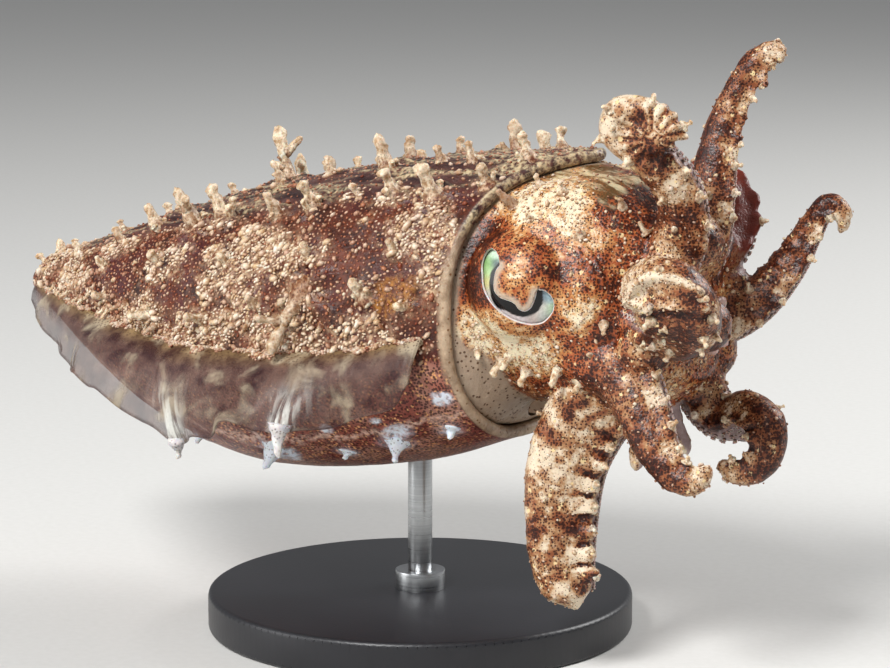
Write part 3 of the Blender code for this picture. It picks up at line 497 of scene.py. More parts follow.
calm = 1 - 0.75 * marks["belly"]
tall, wide = SKIN_LUMPS
height = tall * MM * lumps(flat, wide * MM, 5) * calm
tall, wide = SKIN_GRAIN
height += tall * MM * lumps(flat, wide * MM, 6) * calm * (1 - marks["rim"])
(tall, long_folds), (crease_share, short_folds) = BACK_WRINKLES, BACK_CREASES
wrinkles = lumps(flat, np.array(long_folds) * MM, 7)
wrinkles = wrinkles + crease_share * lumps(flat, np.array(short_folds) * MM, 8)
height += tall * MM * wrinkles * marks["back"]
marks["fold"] = ease(wrinkles + 0.3 * ease(flat_x, -20 * MM, 0), 0.0, 0.4) * marks["back"]
tall, wide = PALE_RIDGES
height += tall * MM * (1 - 2.2 * np.abs(lumps(flat, np.array(wide) * MM, 9))) * marks["pale"]
# Each papilla stands on a mound with five spokes, and its pale colour spreads round its root
for spot, outward, lean, tall, _ in papilla_places:
    away = flat - spot
    apart = np.linalg.norm(away, axis=1)
    near = apart / (0.9 * MM + 0.26 * tall)
    first = unit(np.cross(outward, (1.0, 0.2, 0.0)))
    second = np.cross(outward, first)
    spokes = np.cos(5 * np.arctan2(away @ first, away @ second) + 300 * spot[0] / MM)
    zone_here = "white" if outward[2] < UNDERSIDE else "pale"
    marks[zone_here] = np.maximum(marks[zone_here], 0.85 * np.exp(-((apart / (0.8 * MM + 0.24 * tall)) ** 2)))
    ring_of_spokes = 0.07 * tall * np.exp(-((near - 1.3) ** 2) * 3) * spokes
    height += (0.2 * MM + 0.1 * tall) * np.exp(-near**2) + ring_of_spokes
still = ease(flat_x, -0.3 * MM, -1.6 * MM) * ease(flat_x, -82.6 * MM, -80 * MM)
flat = flat + normals.reshape(-1, 3) * (height * still)[:, None]

rim_rings = []
for turn in np.linspace(0, math.pi, 9)[1:]:
    edge = mantle_points(0.0, angles, RIM_THICKNESS / 2 * (1 - math.cos(turn)))
    rim_rings.append(edge + (RIM_THICKNESS / 2 * math.sin(turn), 0, 0))
inner = mantle_points(0.0, angles, RIM_THICKNESS)
for share in np.linspace(0, 1, 16)[1:]:
    ring = inner.copy()
    ring[:, 0] = inner[:, 0] * (1 - share) + POCKET_FLOOR * share
    rim_rings.append(ring)
rim_points = np.vstack(rim_rings)
points = np.vstack([flat, *rim_rings, [flat[:MANTLE_SIDES].mean(axis=0) - (TAIL_ROUNDING, 0, 0)]])
tail = len(points) - 1
faces = closed_faces(MANTLE_RINGS + len(rim_rings), MANTLE_SIDES)
faces += [[tail, (index + 1) % MANTLE_SIDES, index] for index in range(MANTLE_SIDES)]
faces.append(list(range(tail - MANTLE_SIDES, tail)))
mantle = mesh_piece("mantle_skin", to_row(points), faces)
# Round the rim and down its lining into the pocket, the lower half takes the beige rim colour and the upper
# half the back's dark colours. On the upper lining, in the gap round the neck, that dark is painted shade.
lower = ease(np.degrees(turned_from(angles, math.pi / 2)), 50, 70)
edge_marks = {name: np.zeros(MANTLE_SIDES) for name in marks}
edge_marks |= {"rim": lower, "back": 1 - lower, "fold": 0.9 * (1 - lower)}
paint(mantle, **{
    name: np.concatenate([values, np.tile(edge_marks[name], len(rim_rings)), [0.0]])
    for name, values in marks.items()
})

# Silicone skin of the body: wet and slightly see-through, with pigment spots about 0.45 mm apart over a
# maroon ground. It is glossy only in small glints, because its surface is finely pebbled.
SPOT_PITCH = 0.45 * MM
PEBBLE = 0.28 * MM
BACK_STREAK = (9.0, 1.1, 3.5)  # mm along, across and up


def zones(tree, names):
    """The numbers that paint stored on a piece, as nodes' outputs under the same names."""
    return {name: node(tree, "Attribute", output="Fac", attribute_name=name) for name in names}


def blotches(tree, place, size, detail, low, high, roughness=0.5):
    """Cloudy patches of about that size, from 0 to 1 between two levels of their noise."""
    shape = {"Vector": place, "Scale": 1 / size, "Detail": detail, "Roughness": roughness}
    level = node(tree, "TexNoise", shape)
    return node(tree, "MapRange", {"Value": level, "From Min": low, "From Max": high})


def pigment_spots(tree, place, pitch, edge, core, most=1.0, randomness=1.0):
    """Soft round spots about a pitch apart, rising from their edge to their core, in shares of the pitch."""
    shape = {"Vector": place, "Scale": 1 / pitch, "Randomness": randomness}
    away = node(tree, "TexVoronoi", shape, output="Distance")
    return node(tree, "MapRange", {"Value": away, "From Min": edge, "From Max": core, "To Max": most},
                interpolation_type="SMOOTHSTEP")


body_skin, tree, place = new_material(
    "pigmented_silicone_body_skin", Roughness=0.38, IOR=1.4,
    Subsurface_Weight=0.15, Subsurface_Scale=0.6 * MM, Subsurface_Radius=(1.0, 0.35, 0.2),
)
zone = zones(tree, marks)
mottle = blotches(tree, place, 2.2 * MM, 4.0, 0.35, 0.65, roughness=0.65)
fine = blotches(tree, place, 0.7 * MM, 3.0, 0.38, 0.62, roughness=0.6)
clouded = node(tree, "TexNoise", {"Vector": place, "Scale": 1 / (7 * MM), "Detail": 2.0})
plum = node(tree, "MapRange", {"Value": clouded, "From Min": 0.5, "From Max": 0.66, "To Max": 0.8})
clouds = node(tree, "MapRange", {"Value": clouded, "From Min": 0.5, "From Max": 0.36, "To Max": 0.6})
streak_place = node(tree, "Mapping", {"Vector": place, "Scale": [1 / (size * MM) for size in BACK_STREAK]})
streaks = blotches(tree, streak_place, 1.0, 5.0, 0.4, 0.68, roughness=0.6)
spots = pigment_spots(tree, place, SPOT_PITCH, 0.38, 0.26, randomness=0.85)
belly_dots = pigment_spots(tree, place, 0.62 * MM, 0.38, 0.26, randomness=0.9)
belly_spots = pigment_spots(tree, place, 0.4 * MM, 0.52, 0.4, most=0.85, randomness=0.85)
rim_spots = pigment_spots(tree, place, 0.9 * MM, 0.22, 0.14, most=0.85)
whiter = node(tree, "MapRange", {"Value": fine, "To Min": 0.3, "To Max": 1.2})
whiter = node(tree, "Math", {0: zone["white"], 1: whiter}, operation="MULTIPLY", use_clamp=True)
pale_ground = painted(tree, "743C20", (fine, "DABA94"))
amber = painted(tree, "552606", (fine, "B0762C"))
back = painted(tree, "2E1C1C", (streaks, "664038"), (zone["fold"], "C6B18C", fine), (spots, "2A1512", 0.4))
belly = painted(
    tree, "70302C", (mottle, "9E5844"), (clouds, "BC927E"), (belly_dots, "D69C68"), (belly_spots, "34100F"),
    (zone["ridge"], "E0BCA8", fine), (whiter, "DDE2EC"),
)
rim_tone = painted(tree, "8C745C", (mottle, "BDA58A"), (rim_spots, "6E4418"))
skin = painted(
    tree, "2A0D06", (mottle, "662E18"), (plum, "4C1C20"), (spots, "2A0B06", 0.7),
    (zone["pale"], pale_ground, mottle), (zone["amber"], amber, 0.75), (zone["back"], back),
    (zone["belly"], belly), (zone["rim"], rim_tone),
)
pebbles = node(tree, "TexVoronoi", {"Vector": place, "Scale": 1 / PEBBLE}, output="Distance")
relief = node(tree, "Bump", {"Height": pebbles, "Strength": 0.5, "Distance": -0.06 * MM})
relief = node(tree, "Bump", {"Height": fine, "Strength": 0.4, "Distance": 0.12 * MM, "Normal": relief})
wire(tree, Base_Color=skin, Normal=relief)
put_in_place(mantle, body_skin, "mantle_skin", "mantle")


# Papillae of the mantle: soft fingers that the skin raises in rows along the back, the side and
# the fin's base. Each is a thick blunt finger with a bulbous tip, knobs on its sides and a flared
# root that melts into the skin.
FINGER_SIDES = 14
FINGER_PROFILE = (  # shares of the height and of the radius
    (-0.25, 2.3), (-0.1, 2.1), (0.0, 1.8), (0.07, 1.45), (0.17, 1.16), (0.3, 0.98), (0.45, 0.86), (0.6, 0.78),
    (0.72, 0.8), (0.82, 0.86), (0.9, 0.82), (0.96, 0.62), (1.0, 0.3),
)
BRANCHES = (  # side, upward lean, share of the height at the root, length, thickness and seed
    (1, 0.7, 0.5, 0.42, 0.65, 3), (-1, 0.6, 0.3, 0.28, 0.55, 5),
)
FRINGE_FINGERS = 40
FRINGE_BACK, FRINGE_LENGTH = -74, 66  # mm


def crossways(direction):
    """Two unit vectors square to a direction and to each other."""
    start = np.array((0.0, 0.0, 1.0)) if abs(direction[2]) < 0.8 else np.array((1.0, 0.0, 0.0))
    first = unit(np.cross(start, direction))
    return first, np.cross(direction, first)


class Cluster:
    """Points, faces and painted numbers of many small shapes that make one piece."""

    def __init__(self):
        self.points, self.faces, self.marks, self.map = [], [], {}, []
        self.count = 0

    def add(self, points, faces, spread, **marks):
        """spread is where each point of the shape lies on the unwrap of the skin that carries it."""
        self.faces += [[self.count + index for index in face] for face in faces]
        self.points.append(points)
        self.map.append(spread)
        for name, values in marks.items():
            self.marks.setdefault(name, []).append(np.broadcast_to(values, len(points)))
        self.count += len(points)

    def piece(self, name):
        """One object of all the shapes, with their unwrap as its bake map."""
        made = mesh_piece(name, to_row(np.vstack(self.points)), self.faces)
        paint(made, **{name: np.concatenate(values) for name, values in self.marks.items()})
        layer = made.data.uv_layers.new(name="OFBake")
        corners = np.empty(len(made.data.loops), np.int32)
        made.data.loops.foreach_get("vertex_index", corners)
        layer.data.foreach_set("uv", np.vstack(self.map)[corners].astype(np.float32).ravel())
        return made


def patch_on_unwrap(points, root, root_place, width=0.003):
    """Each point's place on a small patch round its root's place on the unwrap."""
    away = points - root
    reach = max(np.abs(away).max(), 1e-9)
    flat_away = np.column_stack([away[:, 0] + 0.3 * away[:, 2], away[:, 1] + 0.7 * away[:, 2]])
    return np.asarray(root_place) + flat_away / reach * width / 2


def mantle_unwrap(x, angle):
    return 0.02 + 0.96 * (angle % (2 * math.pi)) / (2 * math.pi), 0.02 + 0.96 * (x + 0.0836) / 0.0836


def finger(cluster, spot, direction, tall, draws, radius, root_place, tint, seed, pointed=0.0, flare=1.0):
    """One soft finger with knobs on its sides, and side branches where it is tall."""
    first, second = crossways(direction)
    bend = (first * draws[0] + second * draws[1]) * 0.14 * tall
    turns = angles_round(FINGER_SIDES)[:, None] + draws[2]
    round_it = np.cos(turns) * first + np.sin(turns) * second
    shares = np.array([share for share, _ in FINGER_PROFILE])
    rings = []
    for share, wide in FINGER_PROFILE:
        centre = spot + direction * tall * share + bend * share**2
        wide = min(wide, 1.1 + 1.2 * flare)
        wide *= (1 + 0.16 * math.sin(7 * share + 40 * draws[0])) * (1 - pointed * 0.7 * max(share, 0) ** 0.8)
        rings.append(centre + round_it * radius * wide)
    rings = np.array(rings)
    flat = rings.reshape(-1, 3)
    share_of = np.repeat(shares, FINGER_SIDES)
    out = np.tile(round_it, (len(shares), 1))
    knobs = lumps(flat, 0.75 * radius + 0.25 * MM, seed) + 0.5 * lumps(flat, 0.5 * radius, seed + 1)
    flat = flat + out * (knobs * 0.5 * radius * ease(share_of, -0.1, 0.2) * (1 - 0.85 * pointed))[:, None]
    tip = spot + direction * (tall + radius * 0.2) + bend
    points = np.vstack([flat, [tip]])
    cluster.add(
        points, pointed_faces(len(shares), FINGER_SIDES), patch_on_unwrap(points, spot, root_place),
        rise=np.append(np.clip(share_of, 0, 1), 1.0), tint=tint,
    )
    if len(draws) > 3:
        aside = unit(first * math.cos(draws[2]) + second * math.sin(draws[2]))
        for side, upward, root, length, thick, shift in BRANCHES:
            way = unit(direction * upward + side * aside)
            finger(cluster, spot + direction * tall * root, way, tall * length, draws[3:], radius * thick,
                   root_place, tint, seed + shift, flare=0.0)


papillae = Cluster()
draw = random.Random(21)
for number, (spot, outward, lean, tall, draws) in enumerate(papilla_places):
    radius = min(0.26 * MM + 0.13 * tall, 0.85 * MM)
    under = outward[2] < UNDERSIDE
    tint = draw.uniform(-1.0, -0.8) if under else draw.uniform(-0.15, 0.3)
    root_place = mantle_unwrap(spot[0], math.atan2(spot[2] - mantle_size(spot[0])[3], spot[1]))
    if under:
        finger(papillae, spot, lean, tall * 0.72, draws, radius * 1.35, root_place, tint, number,
               pointed=0.5, flare=0.7)
        continue
    finger(papillae, spot, lean, tall, draws, radius * 1.1, root_place, tint, number)
    for twig in range(draw.randint(1, 3)):
        draws = finger_draws(draw)
        first, second = crossways(lean)
        way = draw.uniform(0, 2 * math.pi)
        aside = first * math.cos(way) + second * math.sin(way)
        root = spot + aside * radius * 1.3
        finger(papillae, root, unit(lean + 0.4 * aside), tall * draw.uniform(0.2, 0.5), draws,
               radius * draw.uniform(0.45, 0.7), root_place, tint, 100 + number + twig)
# A ragged fringe of small fingers hangs along the lower edge of each side, over the fin's root
for side in (1, -1):
    for number in range(FRINGE_FINGERS):
        x = (FRINGE_BACK + FRINGE_LENGTH * (number + draw.random()) / FRINGE_FINGERS) * MM
        angle = side_angle(side, draw.uniform(166, 176))
        spot, outward = surface_at(mantle_points, x, angle)
        lean = unit(outward * 0.7 + (draw.uniform(-0.8, 0.0), 0, draw.uniform(-0.9, -0.4)))
        tall = draw.uniform(0.5, 1.4) * MM * (1.7 if number % 7 == 3 else 1)
        draws = finger_draws(draw)
        finger(papillae, spot, lean, tall, draws, 0.22 * MM + 0.12 * tall, mantle_unwrap(x, angle),
               draw.uniform(-0.2, 0.5), 300 + number, pointed=0.55, flare=0.6)
mantle_papillae = papillae.piece("mantle_papillae")

# Papilla skin: thinner silicone with little pigment, so that light comes through its
# cream tip. Brown climbs its root.
papilla_skin, tree, place = new_material(
    "translucent_silicone_papilla_skin", Roughness=0.42, IOR=1.4,
    Subsurface_Weight=0.35, Subsurface_Scale=0.9 * MM, Subsurface_Radius=(1.0, 0.55, 0.35),
)
zone = zones(tree, ("rise", "tint"))
mottle = node(tree, "TexNoise", {"Vector": place, "Scale": 1 / (0.8 * MM), "Detail": 4.0, "Roughness": 0.6})
blotch = node(tree, "MapRange", {"Value": mottle, "From Min": 0.36, "From Max": 0.64})
uneven = node(tree, "Math", {0: mottle, 1: 0.9, 2: zone["rise"]}, operation="MULTIPLY_ADD")
climb = node(tree, "MapRange", {"Value": uneven, "From Min": 0.35, "From Max": 0.95})
browner = node(tree, "MapRange", {"Value": zone["tint"], "From Min": 0.0, "From Max": 1.0})
whiter = node(tree, "MapRange", {"Value": zone["tint"], "From Min": -0.2, "From Max": -0.8})
fewer = node(tree, "MapRange", {"Value": zone["rise"], "To Min": 0.7, "To Max": 0.1})
spots = pigment_spots(tree, place, 0.4 * MM, 0.36, 0.24)
brown = painted(tree, "5A2A16", (blotch, "A8764E"))
cream = painted(tree, "A88660", (blotch, "EBDCC2"))
skin = painted(tree, brown, (climb, cream), (browner, "7A4A26"), (whiter, "E6ECF4"), (spots, "4A2010", fewer))
relief = node(tree, "Bump", {"Height": mottle, "Strength": 0.8, "Distance": 0.25 * MM})
wire(tree, Base_Color=skin, Normal=relief)
put_in_place(mantle_papillae, papilla_skin, "mantle_skin")


# Granules of the mantle: thousands of low beads of skin, cream where they crowd together and orange between.
# They give the side of a live animal its crusted look, and on the model they are raised in the casting.
BEAD_SIDES = 5
BEAD_RINGS = ((-0.4, 1.0), (0.45, 0.86))  # shares of the radius: height and width


def bead(sides, rings):
    """One low bead of radius 1 as points and faces, with a closed foot. It is copied thousands of times."""
    turns = angles_round(sides)
    points = [(math.cos(turn) * wide, math.sin(turn) * wide, high) for high, wide in rings for turn in turns]
    points.append((0, 0, rings[-1][0] + 0.42))
    return np.array(points), pointed_faces(len(rings), sides)


BEAD = bead(BEAD_SIDES, BEAD_RINGS)


def search_tree(points):
    tree = kdtree.KDTree(len(points))
    for index, point in enumerate(points):
        tree.insert(point, index)
    tree.balance()
    return tree


def thin_out(points, spacing, draw):
    """Indices of points taken in a drawn order, each at least its own spacing from the ones before."""
    tree = search_tree(points)
    order = list(range(len(points)))
    draw.shuffle(order)
    taken = np.zeros(len(points), bool)
    kept = []
    for index in order:
        if taken[index] or spacing[index] <= 0:
            continue
        kept.append(index)
        for _, near, _ in tree.find_range(points[index], spacing[index]):
            taken[near] = True
    return kept


def strew_beads(cluster, points, outward, radii, creams, root_places, draw, run=None):
    """A bead at each point, stretched at random and sunk a little. Pale ones run one way into crusts."""
    shape, faces = BEAD
    for spot, direction, radius, cream, root_place in zip(points, outward, radii, creams, root_places):
        first, second = crossways(direction)
        turn = draw.uniform(0, math.pi)
        stretch = draw.uniform(1.0, 1.5)
        if run is not None and cream > 0.6:
            turn = math.atan2(second @ run, first @ run) + draw.gauss(0, 0.5)
            stretch = draw.uniform(1.0, 1.8)
        along = (first * math.cos(turn) + second * math.sin(turn)) * radius * stretch
        across = (second * math.cos(turn) - first * math.sin(turn)) * radius / stretch**0.5
        rise = direction * radius * draw.uniform(0.75, 1.35)
        placed = spot + shape[:, :1] * along + shape[:, 1:2] * across + shape[:, 2:] * rise
        cluster.add(placed, faces, patch_on_unwrap(placed, spot, root_place),
                    rise=np.clip(shape[:, 2] * 1.2, 0, 1), cream=cream)


GRANULE_DRAWS = 120000
LARGE_GRANULE = 0.3 * MM
CRUST_RUN = np.array((0.75, 0.0, 0.66))  # the way in which the crusts run, up and forward
draw = random.Random(33)
drawn = np.random.default_rng(33)
at_ring = drawn.uniform(0, MANTLE_RINGS - 1.001, GRANULE_DRAWS)
at_side = drawn.uniform(0, MANTLE_SIDES, GRANULE_DRAWS)
ring, side_index = at_ring.astype(int), at_side.astype(int)
ring_share, side_share = (at_ring - ring)[:, None], (at_side - side_index)[:, None]
columns = [flat, normals.reshape(-1, 3), flat_x[:, None], np.array(list(marks.values())).T]
grid = np.hstack(columns).reshape(MANTLE_RINGS, MANTLE_SIDES, -1)
after = (side_index + 1) % MANTLE_SIDES
between = (grid[ring, side_index] * (1 - side_share) + grid[ring, after] * side_share) * (1 - ring_share)
between += (grid[ring + 1, side_index] * (1 - side_share) + grid[ring + 1, after] * side_share) * ring_share
spots, spot_normals, spot_x = between[:, :3], between[:, 3:6], between[:, 6]
spot_angle = at_side * 2 * math.pi / MANTLE_SIDES
spot_marks = dict(zip(marks, between[:, 7:].T))
broken = 0.55 * lumps(spots, 2.3 * MM, 12) + 0.4 * lumps(spots, 1.0 * MM, 13)
crowd = ease(0.85 * spot_marks["pale"] + broken, 0.1, 0.8)
bare = [spot_marks[name] for name in ("rim", "belly", "white")]
bare = np.maximum.reduce([*bare, 0.7 * spot_marks["back"]])
spacing = (0.51 - 0.15 * crowd) * MM * (1 + 1.3 * bare) * (1 + 0.25 * lumps(spots, 0.8 * MM, 14))
spacing = np.where((bare > 0.75) | (spot_x > -0.4 * MM) | (spot_x < -82 * MM), 0, spacing)
kept = np.array(thin_out(spots, spacing, draw))
wide = np.array([draw.uniform(0.1, 0.24) * (2.0 if draw.random() < 0.14 else 1) for _ in kept]) * MM
wide *= 1 + 0.35 * crowd[kept]
creams = crowd[kept] * 0.8 + np.array([draw.gauss(0.1, 0.24) for _ in kept]) + 0.2 * (wide > LARGE_GRANULE)
creams = np.clip(creams, 0, 1)
mantle_beads = {}
for name, mine in (
    ("mantle_beads_right", spots[kept][:, 1] < 0),
    ("mantle_beads_left", spots[kept][:, 1] >= 0),
):
    mantle_beads[name] = Cluster()
    chosen = kept[mine]
    places = [mantle_unwrap(spot_x[index], spot_angle[index]) for index in chosen]
    strew_beads(
        mantle_beads[name], spots[chosen], spot_normals[chosen], wide[mine], creams[mine], places, draw,
        CRUST_RUN,
    )

# Bead skin: each bead is a droplet of paler silicone, orange to cream at its top, with
# the ground colour at its foot
bead_skin, tree, place = new_material(
    "raised_silicone_beads", Roughness=0.34, IOR=1.4,
    Subsurface_Weight=0.2, Subsurface_Scale=0.5 * MM, Subsurface_Radius=(1.0, 0.5, 0.3),
)
zone = zones(tree, ("rise", "cream"))
mottle = blotches(tree, place, 1.1 * MM, 3.0, 0.35, 0.65)
top_dark = painted(tree, "823A1C", (mottle, "C08460"))
top_pale = painted(tree, "CDB088", (mottle, "F5EBD8"))
top = painted(tree, top_dark, (zone["cream"], top_pale))
foot = painted(tree, "4A180A", (zone["cream"], "8A5634"))
relief = node(tree, "Bump", {"Height": mottle, "Strength": 0.3, "Distance": 0.05 * MM})
wire(tree, Base_Color=painted(tree, foot, (zone["rise"], top)), Normal=relief)
for name, beads in mantle_beads.items():
    put_in_place(beads.piece(name), bead_skin, "mantle_skin")


# Fins: a thin rippling skirt along each side, hanging like a curtain when the animal hovers. Cast thin in
# clear silicone with a tint, so the belly shows through, and set along the mantle's side.
FIN_FRONT = -3.5 * MM
FIN_BACK = -80.0 * MM
FIN_WIDTH = 11.6 * MM
FIN_OUTLINE = (
    (0, 0.5), (0.03, 0.66), (0.12, 0.76), (0.26, 0.98), (0.45, 1), (0.7, 0.82), (0.9, 0.5), (1, 0.2),
)
FIN_GAP = 0.4 * MM * 0.2  # between the fin's root and the mantle's side
FIN_ROOT_THICKNESS = 0.8 * MM
FIN_EDGE_THICKNESS = 0.3 * MM
FIN_DROOP = math.radians(56)
FIN_SWAY = math.radians(16)
FIN_WAVES = 2.6
FIN_FRILLS = 7.3
FIN_FRILL_TURN = math.radians(5)
FIN_ROWS = 320
FIN_COLUMNS = 44
FIN_RAY = 0.9 * MM  # spacing of the muscle bands across the fin
FIN_PAPILLAE = ((0.21, 3.4), (0.48, 2.4))  # share of the length and height in mm
FIN_SPAN = 76  # mm, over which the papillae's shares are taken
FIN_TAB = 1.1 * MM  # how far the edge is drawn out at each papilla


def fin_middle(side):
    """The fin's middle surface as rows from root to edge, and the points' shares of the width."""
    across = np.linspace(0, 1, FIN_COLUMNS)
    outline_share, outline_width = zip(*FIN_OUTLINE)
    curve = smooth(np.column_stack([outline_share, outline_width]), 200)
    rows = []
    for share in np.linspace(0, 1, FIN_ROWS):
        x = FIN_FRONT + (FIN_BACK - FIN_FRONT) * share
        width = FIN_WIDTH * np.interp(share, curve[:, 0], curve[:, 1])
        tabs = (math.exp(-(((share - spot) * FIN_SPAN / 1.6) ** 2)) for spot, _ in FIN_PAPILLAE)
        width += FIN_TAB * max(tabs)
        sway = math.sin(FIN_WAVES * 2 * math.pi * share)
        frill = math.sin(FIN_WAVES * FIN_FRILLS * math.pi * share + side) * ease(across, 0.45, 1.0)
        half_width, _, _, line = mantle_size(x)
        droop = FIN_DROOP * across**0.5 + FIN_SWAY * sway * across + FIN_FRILL_TURN * frill
        outwards = side * (half_width + FIN_GAP + width * across * np.cos(droop))
        upward = line - width * across * np.sin(droop)
        rows.append(np.column_stack([np.full(len(across), x), outwards, upward]))
    return np.array(rows), across


def make_fin(name, side):
    middle, across = fin_middle(side)
    normal = np.cross(np.gradient(middle, axis=0), np.gradient(middle, axis=1))
    normal /= np.linalg.norm(normal, axis=2)[:, :, None]
    thickness = FIN_ROOT_THICKNESS + (FIN_EDGE_THICKNESS - FIN_ROOT_THICKNESS) * across**0.5
    along = np.linspace(0, 1, FIN_ROWS)[:, None]
    bands = np.sin(along * (FIN_FRONT - FIN_BACK) / FIN_RAY * 2 * math.pi)
    bands = 0.04 * MM * bands * ease(across, 0.1, 0.5)
    lumpy = lumps(middle.reshape(-1, 3), 2.6 * MM, 40 + side).reshape(FIN_ROWS, FIN_COLUMNS)
    middle = middle + normal * (0.25 * MM * lumpy * across)[:, :, None]
    sides = [middle + normal * (sign * (thickness / 2 + bands))[:, :, None] for sign in (1, -1)]
    outward = middle[:, -1] - middle[:, -2]
    outward /= np.linalg.norm(outward, axis=1)[:, None]
    half = thickness[-1] / 2
    rim = [
        middle[:, -1] + normal[:, -1] * math.cos(turn) * half + outward * math.sin(turn) * half
        for turn in np.linspace(0, math.pi, 5)[1:-1]
    ]
    loops = np.concatenate([sides[0], np.stack(rim, axis=1), sides[1][:, ::-1]], axis=1)
    columns = loops.shape[1]
    fin = mesh_piece(name, to_row(loops.reshape(-1, 3)), capped_faces(FIN_ROWS, columns))
    across_all = np.tile(np.concatenate([across, np.ones(len(rim)), across[::-1]]), FIN_ROWS)
    along_all = np.repeat(along.ravel(), columns)
    fans = sum(
        np.exp(-(((along_all - spot) * FIN_SPAN / (5.4 - 4.2 * across_all)) ** 2)) for spot, _ in FIN_PAPILLAE
    )
    paint(fin, across=across_all, along=along_all, fan=np.clip(fans, 0, 1) * ease(across_all, 0.35, 0.95))
    return fin, middle


fin_right, fin_right_middle = make_fin("fin_right_skirt", -1)
fin_left, fin_left_middle = make_fin("fin_left_skirt", 1)

# Fin membrane: clear silicone with a brown-grey tint, fine dark speckles and pale gold
# blotches, clearest at its edge
fin_membrane, tree, place = new_material("clear_tinted_silicone_fin", Roughness=0.45, IOR=1.35)
zone = zones(tree, ("across", "along", "fan"))
mottle = blotches(tree, place, 3.2 * MM, 5.0, 0.38, 0.62, roughness=0.6)
near_root = {"From Min": 0.08, "From Max": 0.45, "To Min": 1.0, "To Max": 0.15}
near_root = node(tree, "MapRange", {"Value": zone["across"], **near_root})
specks = pigment_spots(tree, place, 0.42 * MM, 0.4, 0.26)
specks = node(tree, "Math", {0: specks, 1: near_root}, operation="MULTIPLY")
gold = node(tree, "TexNoise", {"Vector": place, "Scale": 1 / (4.5 * MM), "Detail": 3.0, "Distortion": 0.6})
gold = node(
    tree, "MapRange", {"Value": gold, "From Min": 0.5, "From Max": 0.74}, interpolation_type="SMOOTHSTEP"
)
root_share = node(tree, "MapRange", {"Value": zone["across"], "From Min": 0.3, "From Max": 0.05})
# White rays run out to each papilla of the fin
ray_along = node(tree, "Math", {0: zone["along"], 1: 110.0}, operation="MULTIPLY")
ray_across = node(tree, "Math", {0: zone["across"], 1: 3.0}, operation="MULTIPLY")
ray_place = node(tree, "CombineXYZ", {"X": ray_along, "Y": ray_across})
rays = node(tree, "TexNoise", {"Vector": ray_place, "Scale": 1.0, "Detail": 3.0, "Distortion": 0.4})
rays = node(
    tree, "MapRange", {"Value": rays, "From Min": 0.42, "From Max": 0.58, "To Min": 0.15, "To Max": 1.1}
)
rays = node(tree, "Math", {0: zone["fan"], 1: rays}, operation="MULTIPLY", use_clamp=True)
root_tone = painted(tree, "4C3020", (mottle, "927852"))
tone = painted(
    tree, "3C2224", (mottle, "74584E"), (root_share, root_tone), (gold, "B8AA90", 0.75), (rays, "E2E2DA"),
    (specks, "33160E", 0.8),
)
edge = node(tree, "MapRange", {"Value": zone["across"], "From Min": 0.97, "From Max": 1.0, "To Max": 0.25})
cover = {"From Min": 0.05, "From Max": 0.6, "To Min": 0.9, "To Max": 0.4}
cover = node(tree, "MapRange", {"Value": zone["across"], **cover})
for denser, amount in ((gold, 0.25), (rays, 0.4), (edge, 1.0), (specks, 0.2)):
    cover = node(tree, "Math", {0: denser, 1: amount, 2: cover}, operation="MULTIPLY_ADD", use_clamp=True)
relief = node(tree, "Bump", {"Height": mottle, "Strength": 0.3, "Distance": 0.1 * MM})
wire(tree, Base_Color=tone, Alpha=cover, Normal=relief)
put_in_place(fin_right, fin_membrane, "fin_membrane", "fin_right")
put_in_place(fin_left, fin_membrane, "fin_membrane", "fin_left")

# The mantle's crust spills over the fin's root, so beads sit on the fin's upper face there in an uneven band
FIN_BEADS = 2600
BEAD_JITTER = 0.15
for side, middle, name in ((-1, fin_right_middle, "fin_beads_right"), (1, fin_left_middle, "fin_beads_left")):
    draw = random.Random(80 + side)
    outward = np.cross(np.gradient(middle, axis=1), np.gradient(middle, axis=0))
    outward /= np.linalg.norm(outward, axis=2)[:, :, None]
    outward *= np.sign(outward[..., 1:2] * side + outward[..., 2:3] + 1e-9)
    reach = 1.4 + 9 * lumps(middle[:, 0], 2.9 * MM, 82) + 4 * lumps(middle[:, 0], 1.1 * MM, 83)
    rows = [draw.randrange(2, FIN_ROWS - 8) for _ in range(FIN_BEADS)]
    rows = np.array([row for row in rows if reach[row] > 0])
    columns = np.array([draw.random() ** 1.2 for _ in rows]) * np.minimum(reach[rows], 8)
    at = rows, columns.astype(int)
    roots = middle[at] + outward[at] * FIN_ROOT_THICKNESS * 0.42
    roots = roots + np.array([[draw.uniform(-BEAD_JITTER, BEAD_JITTER) * MM for _ in range(3)] for _ in rows])
    wide = np.array([draw.uniform(0.14, 0.36) for _ in rows]) * MM
    creams = np.clip([draw.gauss(0.6, 0.3) for _ in rows], 0, 1)
    beads = Cluster()
    places = np.column_stack([rows / FIN_ROWS, columns / FIN_COLUMNS])
    strew_beads(beads, roots, outward[at], wide, creams, places, draw)
    put_in_place(beads.piece(name), bead_skin, "fin_membrane")

fin_fingers = Cluster()
for side, middle in ((-1, fin_right_middle), (1, fin_left_middle)):
    draw = random.Random(SEED + side)
    for number, (share, tall) in enumerate(FIN_PAPILLAE):
        row = int(share * (FIN_ROWS - 1))
        edge, inside = middle[row, -1], middle[row, -3]
        draws = finger_draws(draw)
        direction = unit(unit(edge - inside) + (-0.1, 0, -0.5))
        finger(fin_fingers, edge - direction * 0.3 * MM, direction, tall * MM, draws,
               0.42 * MM + 0.14 * tall * MM, (share, 0.5 + 0.3 * side), -0.55, 60 + number,
               pointed=0.55, flare=0.5)
put_in_place(fin_fingers.piece("fin_papillae"), papilla_skin, "fin_membrane")


